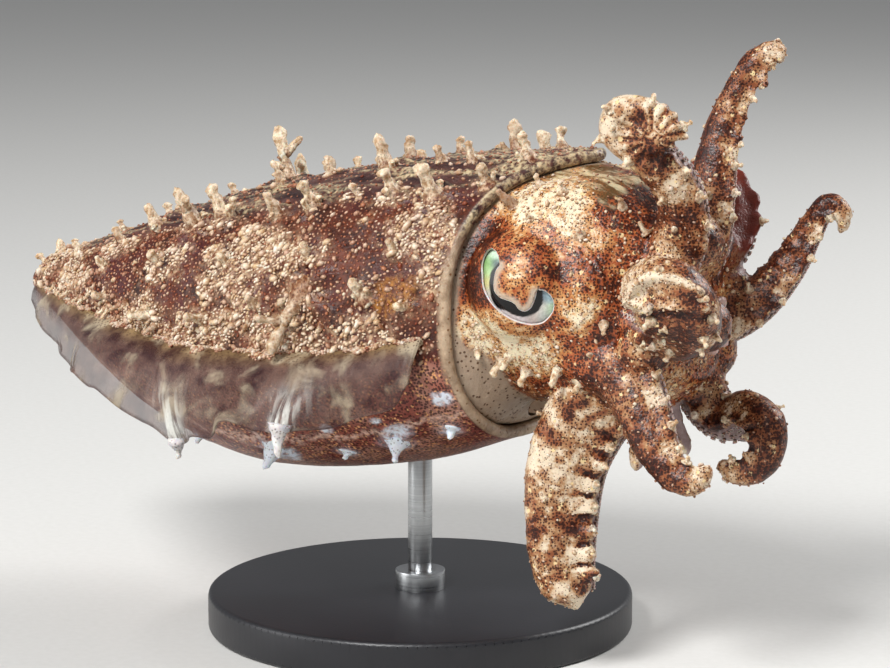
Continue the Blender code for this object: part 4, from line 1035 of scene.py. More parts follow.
# Head and arms: one skin over the neck, the head, the eye swellings, the eight arms and the two
# tentacles. The separate forms are fused, softened where they meet like flesh, and given low
# lumps and folds before colouring.
HEAD_STATIONS = np.array((  # x, half width, height and depth
    (-6.7, 12.0, 11.0, 12.0),
    (-1.0, 13.5, 13.0, 13.0),
    (5.0, 14.6, 14.2, 13.5),
    (12.0, 14.2, 15.6, 13.6),
    (18.0, 12.2, 14.8, 13.2),
    (22.0, 9.6, 12.0, 12.4),
    (24.5, 6.6, 8.0, 10.4),
)) * MM
HEAD_SQUARENESS = 2.3
EYE_BUMP = np.array((7.4, 2.8, 5.6, 6.4, 2.8)) * MM
BROW_BUMP = np.array((9.5, 11.5, 6.0, 4.5, 1.6)) * MM
CHEEK_BUMP = np.array((16.5, 1.0, 3.6, 6.0, 1.8)) * MM
NECK_SHOULDER = 4.2 * MM  # how far ahead of the mantle's rim the neck narrows to the head
MOUTH = np.array((24.8, 0.0, -3.4)) * MM
ARM_SQUARENESS = 2.2
ORAL_DEPTH, OUTER_DEPTH = 0.8, 1.1
ARMS = {  # widths and depths in mm, turns in degrees. The tone is how dark the skin is, from 0 to 1
    "arm_right_1": {
        "route": ((17.0, -4.6, 1.0), (23.0, -4.6, 4.4), (26.4, -5.6, 9.8), (27.0, -8.0, 15.0),
                  (24.8, -11.0, 19.0), (22.2, -13.0, 21.4), (23.4, -14.0, 24.0), (27.6, -13.6, 23.8),
                  (31.0, -12.5, 20.8)),
        "half_width": 4.4, "depth": 4.0, "tip": 0.5, "taper": 0.75, "turn": 25, "swell": (0.6, 0.12, 0.25),
        "tone": 0.5, "frill_end": 0.56,
    },
    "arm_left_1": {
        "route": ((17.0, 4.6, 1.0), (22.8, 4.4, 5.0), (24.2, 5.5, 12.0), (24.9, 7.0, 18.6),
                  (27.2, 8.6, 25.0), (30.2, 9.4, 28.8), (32.0, 9.6, 29.4), (32.0, 9.5, 27.8)),
        "half_width": 4.0, "depth": 3.8, "tip": 0.5, "taper": 0.7, "turn": 75, "swell": (0.86, 0.07, 0.45),
        "tone": 0.55,
    },
    "arm_right_2": {
        "route": ((17.0, -7.0, -1.0), (23.0, -9.0, -1.6), (28.5, -13.0, -2.4), (33.4, -17.0, -1.0),
                  (35.2, -20.2, 2.4), (32.6, -21.4, 5.2), (29.0, -20.8, 4.6), (26.8, -19.6, 1.6)),
        "half_width": 3.9, "depth": 3.7, "tip": 0.9, "taper": 0.45, "turn": 145, "tone": 0.66,
    },
    "arm_left_2": {
        "route": ((16.0, 7.6, 1.5), (21.5, 9.6, 3.0), (22.6, 13.2, 6.0), (20.8, 16.2, 10.0),
                  (17.4, 17.6, 12.6), (13.6, 18.4, 12.0), (11.8, 19.0, 9.2), (13.6, 19.4, 7.0)),
        "half_width": 3.8, "depth": 3.6, "tip": 0.6, "taper": 0.65, "turn": 60, "tone": 0.85,
    },
    "arm_right_3": {
        "route": ((14.0, -7.6, -5.0), (19.4, -9.4, -8.0), (22.8, -10.8, -12.6), (25.0, -12.0, -16.6),
                  (27.4, -12.6, -19.6), (30.0, -12.6, -20.6), (31.8, -12.4, -18.8)),
        "half_width": 4.3, "depth": 4.9, "tip": 0.7, "taper": 0.7, "tone": 0.5,
    },
    "arm_left_3": {
        "route": ((15.0, 7.4, -4.0), (21.4, 9.2, -4.6), (26.0, 11.4, -2.6), (29.8, 13.8, 1.8),
                  (32.4, 15.2, 6.4), (34.6, 15.8, 9.6), (36.6, 16.0, 8.6), (36.0, 16.2, 6.2)),
        "half_width": 4.2, "depth": 3.9, "tip": 0.5, "taper": 0.75, "turn": 105, "tone": 0.6,
    },
    "arm_right_4": {
        "route": ((17.0, -4.8, -5.0), (15.6, -5.4, -10.4), (12.0, -6.6, -15.4), (10.0, -8.2, -20.6),
                  (9.4, -9.2, -27.0), (9.6, -9.8, -32.6), (10.6, -10.0, -36.8)),
        "half_width": 3.6, "depth": 6.2, "tip": 2.0, "taper": 0.34, "turn": -15, "tone": 0.2,
    },
    "arm_left_4": {
        "route": ((15.0, 4.6, -5.6), (19.6, 5.4, -10.4), (21.2, 6.2, -14.6), (24.0, 6.4, -16.8),
                  (27.6, 5.6, -15.4), (30.8, 4.4, -17.0), (30.6, 3.4, -20.8), (27.4, 3.0, -22.4),
                  (24.8, 3.2, -21.4)),
        "half_width": 3.7, "depth": 3.8, "tip": 0.7, "taper": 0.55, "turn": 125, "tone": 0.58,
    },
}
TENTACLES = {
    "tentacle_right": ((15.0, -3.4, -8.0), (18.6, -3.4, -12.6), (18.0, -4.0, -17.0), (17.2, -4.6, -21.0)),
    "tentacle_left": ((15.0, 2.6, -8.0), (18.4, 1.0, -12.6), (20.2, 0.2, -16.4), (21.6, 0.4, -19.6)),
}
TENTACLE_SIZES = {"half_width": 1.7, "depth": 1.7, "tip": 0.7, "taper": 0.4, "tone": 0.2}
WEB_ORDER = ("arm_right_1", "arm_right_2", "arm_right_3", "arm_right_4",
             "arm_left_4", "arm_left_3", "arm_left_2", "arm_left_1")
WEB_SHARES = (0.1, 0.17, 0.24)
# Flesh that fills the curls of two arms, and the thick web on the inner side of one root: centre and radii
FILLINGS = (
    ((30.6, -19.2, 1.0), (3.3, 3.3, 3.3)), ((30.4, -9.4, -2.0), (3.4, 3.4, 3.4)), 
    ((27.4, -8.6, -2.6), (3.4, 3.4, 3.4)), ((26.2, -13.4, 21.8), (4.7, 1.5, 3.4)),
)
LIMB_SIDES = 56
LIMB_STEP = 0.5 * MM
ROOT_FLARE = 0.7 * MM
MARGIN_ANGLE = math.radians(64)  # the skin's frilled margins, from the middle of the oral side
MARGIN_SPREAD = math.radians(14)
MARGIN_HEIGHT = 1.5 * MM
SCALLOP_PITCH = 3.1 * MM
SKIN_VOXEL = 0.375 * MM
# The eye: an egg-shaped ball with its own forward and upward directions, in which the
# lids' outlines are given in mm
EYE_CENTRE = np.array((7.5, 12.8, 2.7)) * MM
EYE_RADII = np.array((6.6, 5.4, 6.6)) * MM
EYE_FACING = (0.33, 0.94, 0.08)
EYE_COVER = 0.7 * MM
LID_OPENING = (  # the edge of the skin round the eye, from the upper front round to the fold's other end
    (-1.81, 3.8), (-2.5, 4.63), (-3.4, 4.75), (-4.09, 4.02), (-4.39, 2.89), (-4.29, 1.75), (-4.14, 0.21),
    (-3.44, -1.34), (-2.25, -2.75), (-0.72, -3.87), (0.79, -4.46), (1.89, -4.66), (3.25, -4.41),
    (4.42, -3.27), (4.77, -2.18), (4.54, -1.14), (3.9, -0.4), (3.13, -0.2),
)
FOLD_EDGE = (  # the wavy edge of the fold that hangs over the pupil
    (2.74, -0.58), (2.63, -1.12), (2.25, -1.96), (1.81, -2.58), (1.16, -2.83), (0.56, -2.54), (0.23, -1.98),
    (-0.38, -1.58), (-1.61, -1.14), (-2.26, -0.55), (-2.45, -0.01), (-2.38, 0.99), (-2.12, 2.06),
    (-1.62, 2.67),
)
FUNNEL_START = np.array((-5.8, 0.0, -10.6)) * MM
FUNNEL_END = np.array((9.5, 0.0, -13.4)) * MM
FUNNEL_RADII = (4.6 * MM, 2.9 * MM)
FUNNEL_ROOM = 0.3 * MM
FUNNEL_SIDES = 64
# Markings of the head, on both sides: place, reach in mm and how dark, from 0, cream, to 1, dark brown
HEAD_MARKS = (
    (10.4, 11.6, 13.1, 4.0, -0.05), (13.8, 11.0, 11.8, 2.8, 0.04), (7.7, 13.2, 11.4, 2.6, 0.04),
    (7.0, 11.0, 13.2, 2.4, 0.15), (16.6, 11.7, 8.9, 2.0, 0.02), (17.0, 14.4, -0.5, 2.1, 0.02),
    (6.1, 14.6, -5.1, 2.5, 0.04), (11.6, 14.1, -5.0, 2.2, 0.08), (8.4, 13.8, -6.4, 2.3, 0.05),
    (20.7, 13.1, -7.3, 1.6, 0.15), (1.7, 14.8, -1.5, 2.0, 0.05), (3.2, 14.6, -3.9, 1.8, 0.08),
    (16.1, 14.9, 2.6, 1.7, 0.4), (5.0, 13.7, 9.6, 2.0, 1.05), (4.2, 15.9, 8.0, 1.3, 0.9),
    (-0.4, 12.5, 6.9, 2.4, 0.9), (2.2, 15.5, 3.6, 1.9, 0.95), (11.2, 14.3, 9.1, 2.0, 0.6),
    (15.2, 14.2, 5.5, 2.6, 0.66), (18.4, 12.7, 4.8, 2.0, 0.6), (13.1, 15.4, 2.5, 2.2, 0.62),
    (13.1, 14.2, -3.6, 1.8, 0.66), (16.7, 13.2, -6.2, 2.6, 0.66), (13.2, 11.4, -9.0, 3.0, 0.68),
    (18.2, 13.1, -2.5, 1.7, 0.9), (18.1, 9.3, 11.0, 2.8, 0.78), (20.1, 5.4, 12.4, 2.8, 0.82),
    (21.0, 8.9, 7.5, 2.4, 0.62), (12.4, 12.4, 10.6, 1.1, 0.8), (9.6, 10.6, 14.0, 1.0, 0.7),
    (4.0, 11.0, -9.5, 3.4, 0.55),
)
# Blocks of tone on the two nearest arms of the right side, in the same form, with
# their true left and right places
ARM_MARKS = (
    (27.2, -12.8, 18.2, 2.0, 1.0), (28.0, -11.0, 13.8, 2.0, 0.03), (27.8, -9.2, 9.9, 2.2, 0.9),
    (25.2, -8.8, 7.0, 1.8, 0.06), (32.8, -23.6, 4.0, 2.2, 0.2), (33.0, -21.8, -0.8, 3.0, 0.85),
    (37.6, -20.0, 0.8, 1.5, 0.15), (35.6, -17.8, -2.8, 1.5, 0.15),
)
FAN_MIDDLE = np.array((26.5, -14.0, 22.0)) * MM  # the broad curled end of the first right arm
FAN_CREASE = np.array((27.6, -14.0, 20.6)) * MM
# Folds of skin that stand up on the curled second arm, and the groove under them, whose dark tone is painted
# shade: a line, its width, rise and tone
FOLD_LINES = (
    (((28.1, -22.1, 2.8), (30.2, -23.3, 4.9), (32.6, -23.9, 5.7), (35.4, -23.4, 5.2), (37.4, -22.0, 3.7)),
     0.5, 0.9, 0.06),
    (((28.1, -22.1, 2.8), (30.9, -23.0, 1.9), (34.2, -23.1, 2.2), (37.6, -21.6, 1.9)), 0.45, 0.9, 0.1),
    (((29.5, -22.6, 0.9), (34.2, -22.8, 1.0), (37.4, -21.0, 0.6)), 0.55, -0.6, 1.0),
)
OLIVE_MARKS = ((15.8, 6.5, 14.4, 3.2), (13.0, 3.0, 15.6, 4.2), (17.7, 3.0, 14.7, 3.0), (8.0, 5.0, 15.0, 4.0))


def travel_frames(path, first_oral, turn):
    """Unit vectors along the path, towards the arm's oral side and to the side, carried along without
    twisting from a start that is turned by some degrees."""
    along = np.gradient(path, axis=0)
    along /= np.linalg.norm(along, axis=1)[:, None]
    oral = np.empty_like(path)
    oral[0] = unit(first_oral - along[0] * (first_oral @ along[0]))
    for index in range(1, len(path)):
        carried = oral[index - 1] - along[index] * (oral[index - 1] @ along[index])
        oral[index] = unit(carried)
    side = np.cross(along, oral)
    turn = math.radians(turn)
    oral, side = oral * math.cos(turn) + side * math.sin(turn), side * math.cos(turn) - oral * math.sin(turn)
    return along, oral, side


class Limb:
    """An arm or tentacle: its smooth path, its frames and its tapering section."""

    def __init__(self, route, half_width, depth, tip, taper, tone, turn=0, swell=(0.5, 0.1, 0), frill_end=1.0):
        self.points = smooth(np.array(route) * MM, 160)
        self.length = np.linalg.norm(np.diff(self.points, axis=0), axis=1).sum()
        self.along, self.oral, self.side = travel_frames(self.points, MOUTH - self.points[0], turn)
        self.inward = np.gradient(self.along, axis=0)  # towards the inside of each bend
        self.inward /= np.maximum(np.linalg.norm(self.inward, axis=1), 1e-9)[:, None]
        self.half_width, self.depth, self.tip, self.taper = half_width * MM, depth * MM, tip * MM, taper
        self.swell, self.tone, self.frill_end = swell, tone, frill_end

    def at(self, table, shares):
        places = np.asarray(shares) * (len(self.points) - 1)
        return np.column_stack([np.interp(places, np.arange(len(self.points)), column) for column in table.T])

    def size(self, shares):
        """Half width and half depth at shares of the length."""
        middle, spread, gain = self.swell
        shares = np.asarray(shares)
        swelling = 1 + gain * np.exp(-(((shares - middle) / spread) ** 2))
        narrowing = np.maximum(1 - shares, 0) ** self.taper * swelling
        return [self.tip + (root - self.tip) * narrowing for root in (self.half_width, self.depth)]

    def surface(self, shares, angles, inflate=0.0):
        """Points on the skin at angles from the oral side, and the outward directions there."""
        centre, oral, side = (self.at(table, shares) for table in (self.points, self.oral, self.side))
        width, depth = self.size(shares)
        towards_oral, sideways = np.cos(angles), np.sin(angles)
        deep = np.where(towards_oral > 0, ORAL_DEPTH, OUTER_DEPTH) * (depth + inflate)
        wide = width + inflate
        out = (rounded(towards_oral, ARM_SQUARENESS) * deep)[:, None] * oral
        out += (rounded(sideways, ARM_SQUARENESS) * wide)[:, None] * side
        outward = oral * (towards_oral / deep)[:, None] + side * (sideways / wide)[:, None]
        return centre + out, outward / np.linalg.norm(outward, axis=1)[:, None]

    def rings(self, step, sides, grown=False):
        """Rings of points on the skin. Where it is grown, the root is flared and both margins are frilled."""
        shares = np.linspace(0, 1, int(self.length / step) + 1)
        share_of, angle_of = np.repeat(shares, sides), np.tile(angles_round(sides), len(shares))
        swollen = np.zeros(len(share_of))
        if grown:
            from_oral = turned_from(angle_of)
            margin = np.sign(np.sin(angle_of))
            scallops = np.abs(np.sin(math.pi * share_of * self.length / SCALLOP_PITCH + margin))
            scallops *= 0.75 + 0.25 * np.sin(2.3 * share_of * self.length / SCALLOP_PITCH + 2 * margin)
            frill = np.exp(-(((from_oral - MARGIN_ANGLE) / MARGIN_SPREAD) ** 2)) * (0.3 + 0.7 * scallops)
            frill *= ease(share_of, 0.14, 0.34) * (1 + 0.7 * ease(share_of, 0.72, 0.85))
            wide_enough = np.minimum(self.size(share_of)[0] / (2.2 * MM), 1)
            frill *= wide_enough * ease(share_of, self.frill_end, self.frill_end - 0.08)
            swollen = ROOT_FLARE * ease(share_of, 0.34, 0.0) + MARGIN_HEIGHT * frill
        return share_of, angle_of, self.surface(share_of, angle_of, swollen)[0]


HEAD_CURVE = smooth(HEAD_STATIONS, 120)


def head_points(x, angle):
    """Points on the head's surface round the body at x. Behind the mantle's rim it is the neck."""
    width, height, depth = (np.interp(x, HEAD_CURVE[:, 0], HEAD_CURVE[:, column]) for column in (1, 2, 3))
    across = rounded(np.cos(angle), HEAD_SQUARENESS) * width
    upward = rounded(np.sin(angle), HEAD_SQUARENESS)
    upward = upward * np.where(upward > 0, height, depth)
    outward = np.column_stack([np.cos(angle), np.sin(angle)])
    swelling = np.zeros(len(angle))
    for bump_x, bump_z, spread_x, spread_z, size in (EYE_BUMP, BROW_BUMP, CHEEK_BUMP):
        off_x = (x - bump_x) / spread_x
        off_z = (upward - bump_z) / spread_z
        sideways = np.clip(np.abs(np.cos(angle)) * 2, 0, 1)
        swelling += size * np.exp(-(off_x**2) - off_z**2) * sideways
    section = np.column_stack([across, upward]) + outward * swelling[:, None]
    lining = mantle_points(0.0, angle, RIM_THICKNESS + 0.12 * MM)[:, 1:]
    shoulder = ease(x - rim_shift(angle), NECK_SHOULDER, -0.2 * MM)[:, None]
    section = section * (1 - shoulder) + lining * shoulder
    return np.column_stack([np.full(len(angle), x), section])


def place_ball(name, centre, radii, segments=96, rings=64):
    """A ball or egg in the animal's frame, before its place is known to anything else."""
    deselect()
    bpy.ops.mesh.primitive_uv_sphere_add(segments=segments, ring_count=rings, radius=1)
    shape = bpy.context.object
    shape.name = name
    points = np.array([vertex.co for vertex in shape.data.vertices])
    shape.data.vertices.foreach_set("co", to_row(points * radii + centre).ravel())
    shape.data.update()
    return shape


def funnel_ring(share, radius, lean=0.0):
    """A ring round the funnel's middle line. It can lean forward by some length."""
    forward = unit(FUNNEL_END - FUNNEL_START)
    left = np.array((0.0, 1.0, 0.0))
    up = np.cross(forward, left)
    turns = angles_round(FUNNEL_SIDES)[:, None]
    centre = FUNNEL_START + (FUNNEL_END - FUNNEL_START) * share + forward * lean
    return centre + radius * (np.cos(turns) * left + np.sin(turns) * up)


def funnel_radius(share):
    return FUNNEL_RADII[0] + (FUNNEL_RADII[1] - FUNNEL_RADII[0]) * share


def eye_frame(side):
    """The eye's facing, forward and upward directions on one side."""
    facing = unit(np.array(EYE_FACING) * (1, side, 1))
    upright = unit(np.array((0, 0, 1)) - facing * facing[2])
    forward = np.cross(upright, facing) * -side
    return facing, forward, upright


def eye_outline(points, count, side, lift):
    """A smooth line of the eye's (forward, upward) places, on a plane that far ahead of its centre."""
    facing, forward, upright = eye_frame(side)
    line = smooth(points, count) * MM
    return EYE_CENTRE * (1, side, 1) + line[:, :1] * forward + line[:, 1:] * upright + facing * lift


limbs = {name: Limb(**sizes) for name, sizes in ARMS.items()}
limbs |= {name: Limb(route, **TENTACLE_SIZES) for name, route in TENTACLES.items()}
HEAD_SIDES = 140
head_angles = angles_round(HEAD_SIDES)
head_x = smooth(HEAD_STATIONS, 80)[:, 0]
head_rings = np.vstack([head_points(x, head_angles) for x in head_x])
forms = [mesh_piece("head_form", to_row(head_rings), capped_faces(len(head_x), HEAD_SIDES))]
for name, limb in limbs.items():
    _, _, points = limb.rings(LIMB_STEP, LIMB_SIDES, grown=name in ARMS)
    tip = limb.points[-1] + limb.along[-1] * limb.tip * 0.8
    faces = pointed_faces(len(points) // LIMB_SIDES, LIMB_SIDES)
    forms.append(mesh_piece(name + "_form", to_row(np.vstack([points, [tip]])), faces))
forms += [place_ball("eye_form", EYE_CENTRE * (1, side, 1), EYE_RADII + EYE_COVER) for side in (1, -1)]
for centre, radii in FILLINGS:
    forms.append(place_ball("filling", np.array(centre) * MM, np.array(radii) * MM, 48, 32))
for name, after in zip(WEB_ORDER, WEB_ORDER[1:] + WEB_ORDER[:1]):
    for share in WEB_SHARES:
        one, other = (limbs[arm].at(limbs[arm].points, [share])[0] for arm in (name, after))
        reach = min(max(0.42 * np.linalg.norm(one - other), 2.2 * MM), 3.9 * MM)
        forms.append(place_ball("web", (one + other) / 2, reach, 32, 20))

deselect()
for form in forms:
    form.select_set(True)
bpy.context.view_layer.objects.active = forms[0]
bpy.ops.object.join()
head = bpy.context.object
head.name = "head_and_arms_skin"
head.data.remesh_voxel_size = SKIN_VOXEL
head.data.use_remesh_fix_poles = False
bpy.ops.object.voxel_remesh()
softening = head.modifiers.new("softening", "SMOOTH")
softening.factor = 0.6
softening.iterations = 5
bpy.ops.object.modifier_apply(modifier=softening.name)

# The eye's opening is cut through the skin, the hollow behind it takes the eyeball,
# and a groove takes the funnel


def cut_out(cutter):
    cut = head.modifiers.new("cut", "BOOLEAN")
    cut.object = cutter
    cut.operation = "DIFFERENCE"
    cut.solver = "EXACT"
    bpy.context.view_layer.objects.active = head
    bpy.ops.object.modifier_apply(modifier=cut.name)
    bpy.data.objects.remove(cutter, do_unlink=True)


for side in (1, -1):
    hollow = place_ball("hollow", EYE_CENTRE * (1, side, 1), EYE_RADII + 0.05 * MM)
    outline = np.vstack([eye_outline(LID_OPENING, 60, side, 0), eye_outline(FOLD_EDGE, 40, side, 0)])
    facing = eye_frame(side)[0]
    near, far = outline + facing * 2.6 * MM, outline + facing * 9 * MM
    opening = mesh_piece("opening", to_row(np.vstack([near, far])), capped_faces(2, len(outline)))
    cut_out(hollow)
    cut_out(opening)
groove = [funnel_ring(share, funnel_radius(share) + FUNNEL_ROOM) for share in (-0.1, 0.3, 0.6, 0.85, 1, 1.3)]
cut_out(mesh_piece("groove", to_row(np.vstack(groove)), capped_faces(len(groove), FUNNEL_SIDES)))


def from_row(points):
    return (points - NECK) @ BODY_TO_ROW


def mesh_arrays(piece):
    """A piece's points in the animal's frame and their outward directions."""
    count = len(piece.data.vertices)
    points, outward = np.empty(count * 3), np.empty(count * 3)
    piece.data.vertices.foreach_get("co", points)
    piece.data.vertex_normals.foreach_get("vector", outward)
    return from_row(points.reshape(-1, 3)), outward.reshape(-1, 3) @ BODY_TO_ROW


def nearest_on_limbs(points):
    """For each point, the number of the limb nearest to it (0 for the head), its share of the length, its
    angle from the oral side, how far it faces the inside of the limb's bend, its place on an unwrap and its
    distance."""
    head_turn = np.tile(head_angles, len(head_x))
    head_along = np.repeat(head_x, len(head_angles))
    blank = np.zeros(len(head_rings))
    unwrap_head = (0.02 + 0.26 * head_turn / (2 * math.pi), 0.05 + 0.9 * (head_along + 7 * MM) / (32 * MM))
    samples, facts = [head_rings], [np.column_stack([blank, blank, blank, blank, *unwrap_head])]
    for number, limb in enumerate(limbs.values(), start=1):
        share_of, turn_of, surface = limb.rings(0.7 * MM, 28)
        _, outward = limb.surface(share_of, turn_of)
        inside = (outward * limb.at(limb.inward, share_of)).sum(axis=1)
        unwrap = 0.3 + 0.068 * (number - 1) + 0.06 * turn_of / (2 * math.pi), 0.05 + 0.9 * share_of
        samples.append(surface)
        facts.append(np.column_stack([np.full(len(surface), number), share_of, turn_of, inside, *unwrap]))
    samples, facts = np.vstack(samples), np.vstack(facts)
    tree = search_tree(samples)
    found = [tree.find(point)[1:] for point in points]
    return np.column_stack([facts[[index for index, _ in found]], [distance for _, distance in found]])


points, outward = mesh_arrays(head)
limb_facts = nearest_on_limbs(points)
limb_number, limb_share, limb_angle, limb_inside = limb_facts[:, :4].T
limb_number = limb_number.astype(int)
on_limb = (limb_number > 0) * ease(limb_share, 0.12, 0.3)
tones = np.array([0.5] + [limb.tone for limb in limbs.values()])
lengths = np.array([1.0] + [limb.length for limb in limbs.values()])
from_oral = np.degrees(turned_from(limb_angle))
is_limb = {name: limb_number == number for number, name in enumerate(limbs, start=1)}
mirrored = points * (1, 0, 1) + np.abs(points[:, 1:2]) * (0, 1, 0)
from_eye = np.linalg.norm((mirrored - EYE_CENTRE) / EYE_RADII, axis=1)

# Relief: low lumps, small bumps, cross folds on the inside of tight bends and
# wrinkles round the eye's swelling
CROSS_FOLD = 0.95 * MM
EYE_RING_MIDDLE, EYE_RING_RADIUS = np.array((12.5, 14.0, 2.6)) * MM, 6.4 * MM
FAN_PLEATS = 15
head_relief = 0.15 * MM * lumps(points, 2.6 * MM, 50) + 0.1 * MM * lumps(points, 1.2 * MM, 51)
folds = np.cos(2 * math.pi * limb_share * lengths[limb_number] / CROSS_FOLD)
head_relief += 0.16 * MM * folds * ease(limb_inside, 0.2, 0.8) * on_limb * ease(limb_share, 0.3, 0.5)
off_ring = np.linalg.norm(mirrored - EYE_RING_MIDDLE, axis=1) - EYE_RING_RADIUS
near_ring = np.exp(-((off_ring / (0.9 * MM)) ** 2))
head_relief += (0.12 * MM * np.cos(off_ring / (0.8 * MM) * 2 * math.pi) * near_ring
                * ease(mirrored[:, 0], 13 * MM, 16 * MM) * (1 - on_limb))
fan_away = points - FAN_CREASE
fan_reach = np.linalg.norm(fan_away, axis=1)
on_fan = ease(np.linalg.norm(points - FAN_MIDDLE, axis=1), 7.5 * MM, 6.0 * MM) * is_limb["arm_right_1"]
on_fan = on_fan * ease(limb_share, 0.46, 0.56)
pleats = np.cos(FAN_PLEATS * np.arctan2(fan_away[:, 2], fan_away[:, 0]))
head_relief *= 1 - 0.7 * on_fan
head_relief += (0.25 * MM * pleats * on_fan * ease(fan_reach, 0.3 * MM, 1.5 * MM)
                * ease(fan_reach, 5.5 * MM, 3.5 * MM))


def off_line(points, line, most):
    """Distance of each point from a smooth line through places given in mm, or the most that matters."""
    path = smooth(line, 60) * MM
    apart = np.full(len(points), most)
    near = np.linalg.norm(points - path.mean(axis=0), axis=1) < most + np.ptp(path, axis=0).max()
    apart[near] = np.minimum(np.linalg.norm(points[near][:, None] - path[None], axis=2).min(axis=1), most)
    return apart


folds_and_groove_shade = []
for line, wide, rise, tone in FOLD_LINES:
    share = np.exp(-((off_line(points, line, 3 * MM) / (wide * MM)) ** 2)) * is_limb["arm_right_2"]
    head_relief += rise * MM * share
    folds_and_groove_shade.append((share, tone))
# The margins of the two lowest arms sink between their scallops, and these hollows are painted dark as painted
# shade
phase = math.pi * limb_share * lengths[limb_number] / SCALLOP_PITCH + np.sign(np.sin(limb_angle))
hollow_and_painted_shade = ease(np.abs(np.sin(phase)), 0.6, 0.25) * np.exp(-(((from_oral - 72) / 17) ** 2))
on_lowest = is_limb["arm_right_4"] | is_limb["arm_left_4"]
hollow_and_painted_shade = hollow_and_painted_shade * on_lowest * ease(limb_share, 0.2, 0.35)
head_relief -= 0.45 * MM * hollow_and_painted_shade
head_relief *= ease(from_eye, 1.16, 1.5)
points = points + outward * head_relief[:, None]
head.data.vertices.foreach_set("co", to_row(points).ravel())
head.data.update()
select_only(head)
bpy.ops.object.shade_smooth()


def nearness(points, spot, reach):
    """From 0 to 1, how near each point is to a place, both it and the reach given in mm."""
    return np.exp(-((np.linalg.norm(points - np.array(spot) * MM, axis=1) / (reach * MM)) ** 2))


def with_marks(tone, weight, points, marks, uneven=0):
    """A tone at each point, drawn by each mark's own tone the nearer it lies, against its own weight."""
    weight = np.full(len(points), weight)
    total = weight * tone
    for *spot, reach, dark in marks:
        near = nearness(points, spot, reach)
        weight, total = weight + near, total + near * (dark + uneven)
    return total / weight


# Markings: how dark the skin is at each point, with painted shade in the fan's pleats, in the second arm's
# groove and in the hollows between scallops, then the oral faces, the neck's collar and the fold over the eye
BLOCK_PITCH = 7.5 * MM  # of the pale and dark blocks along an arm
FAN_DARK_SPOT = (26.2, -14.6, 23.4)
wobble = lumps(points, 2.4 * MM, 52) + 0.6 * lumps(points, 1.1 * MM, 53)
broad = lumps(points, 5 * MM, 54)
darkness = with_marks(0.6 + 0.4 * broad, 0.22, mirrored, HEAD_MARKS) + 0.15 * wobble + 0.03
blocks = np.sin(2 * math.pi * limb_share * lengths[limb_number] / BLOCK_PITCH + 2.1 * limb_number)
blocks = blocks + 0.9 * wobble
margin = ease(from_oral, 38, 56) * ease(from_oral, 118, 88)
arm_dark = tones[limb_number] + 0.2 + 0.3 * broad + 0.24 * wobble
arm_dark = arm_dark + 0.5 * lumps(points, 2.2 * MM, 57) * is_limb["arm_right_4"]
arm_dark = arm_dark * (1 - 0.6 * margin * ease(blocks, -0.2, 0.6))
arm_dark = arm_dark * (1 - 0.55 * ease(limb_share, 0.84, 0.95) * ~is_limb["arm_right_4"])
arm_dark = arm_dark * (1 - 0.6 * is_limb["arm_right_2"] * ease(limb_share + 0.05 * wobble, 0.74, 0.82))
# Painted shade: the valleys between the fan's pleats are painted darker
fan_pleat_shade = ease(-pleats, 0.0, 0.8) * ease(fan_reach, 0.4 * MM, 1.0 * MM)
fan_pleat_shade = fan_pleat_shade * ease(fan_reach, 5.0 * MM, 3.0 * MM)
fan_dark = 0.22 + 0.14 * wobble + 0.8 * nearness(points, FAN_DARK_SPOT, 1.1) + 0.45 * fan_pleat_shade
arm_dark = arm_dark * (1 - on_fan) + on_fan * fan_dark
arm_dark = with_marks(arm_dark, 0.3, points, ARM_MARKS, 0.15 * wobble)
# Each fold takes its own tone, and the sunken groove under them is painted dark as painted shade
for share, tone in folds_and_groove_shade:
    arm_dark = arm_dark * (1 - share) + tone * share
# Painted shade: the hollows between the scallops are painted nearly the darkest tone
arm_dark = arm_dark + (1.1 - arm_dark) * hollow_and_painted_shade
darkness = np.clip(darkness * (1 - on_limb) + arm_dark * on_limb, 0, 1)
olive = np.maximum.reduce([nearness(mirrored, spot, reach) for *spot, reach in OLIVE_MARKS])
head_angle = np.arctan2(points[:, 2], points[:, 1])
ahead_of_rim = points[:, 0] - rim_shift(head_angle)
collar_edge = (0.9 + 3.4 * ease(np.degrees(turned_from(head_angle, math.pi / 2)), 98, 125)) * MM
collar_share = ease(ahead_of_rim + 0.4 * MM * wobble - collar_edge, 0.4 * MM, -0.4 * MM) * (1 - on_limb)
oral = on_limb * ease(from_oral, 46, 34) * ease(limb_facts[:, 6], 1.1 * MM, 0.7 * MM)
facing, forward, upright = eye_frame(1)
eye_away = mirrored - EYE_CENTRE
eye_places = np.column_stack([eye_away @ forward, eye_away @ upright]) / MM
fold = np.zeros(len(points))
close = (eye_away @ facing > 2 * MM) & (from_eye < 1.35)
off_fold = np.linalg.norm(eye_places[close][:, None] - smooth(FOLD_EDGE, 60)[None], axis=2).min(axis=1)
fold[close] = ease(off_fold, 0.8, 0.35)
olive = ease(olive + 0.45 * wobble, 0.4, 0.8) * (1 - on_limb)
paint(head, dark=darkness, olive=olive, oral=oral, limb=on_limb,
      neck=collar_share, red=is_limb["arm_left_2"] * on_limb, fold=fold)

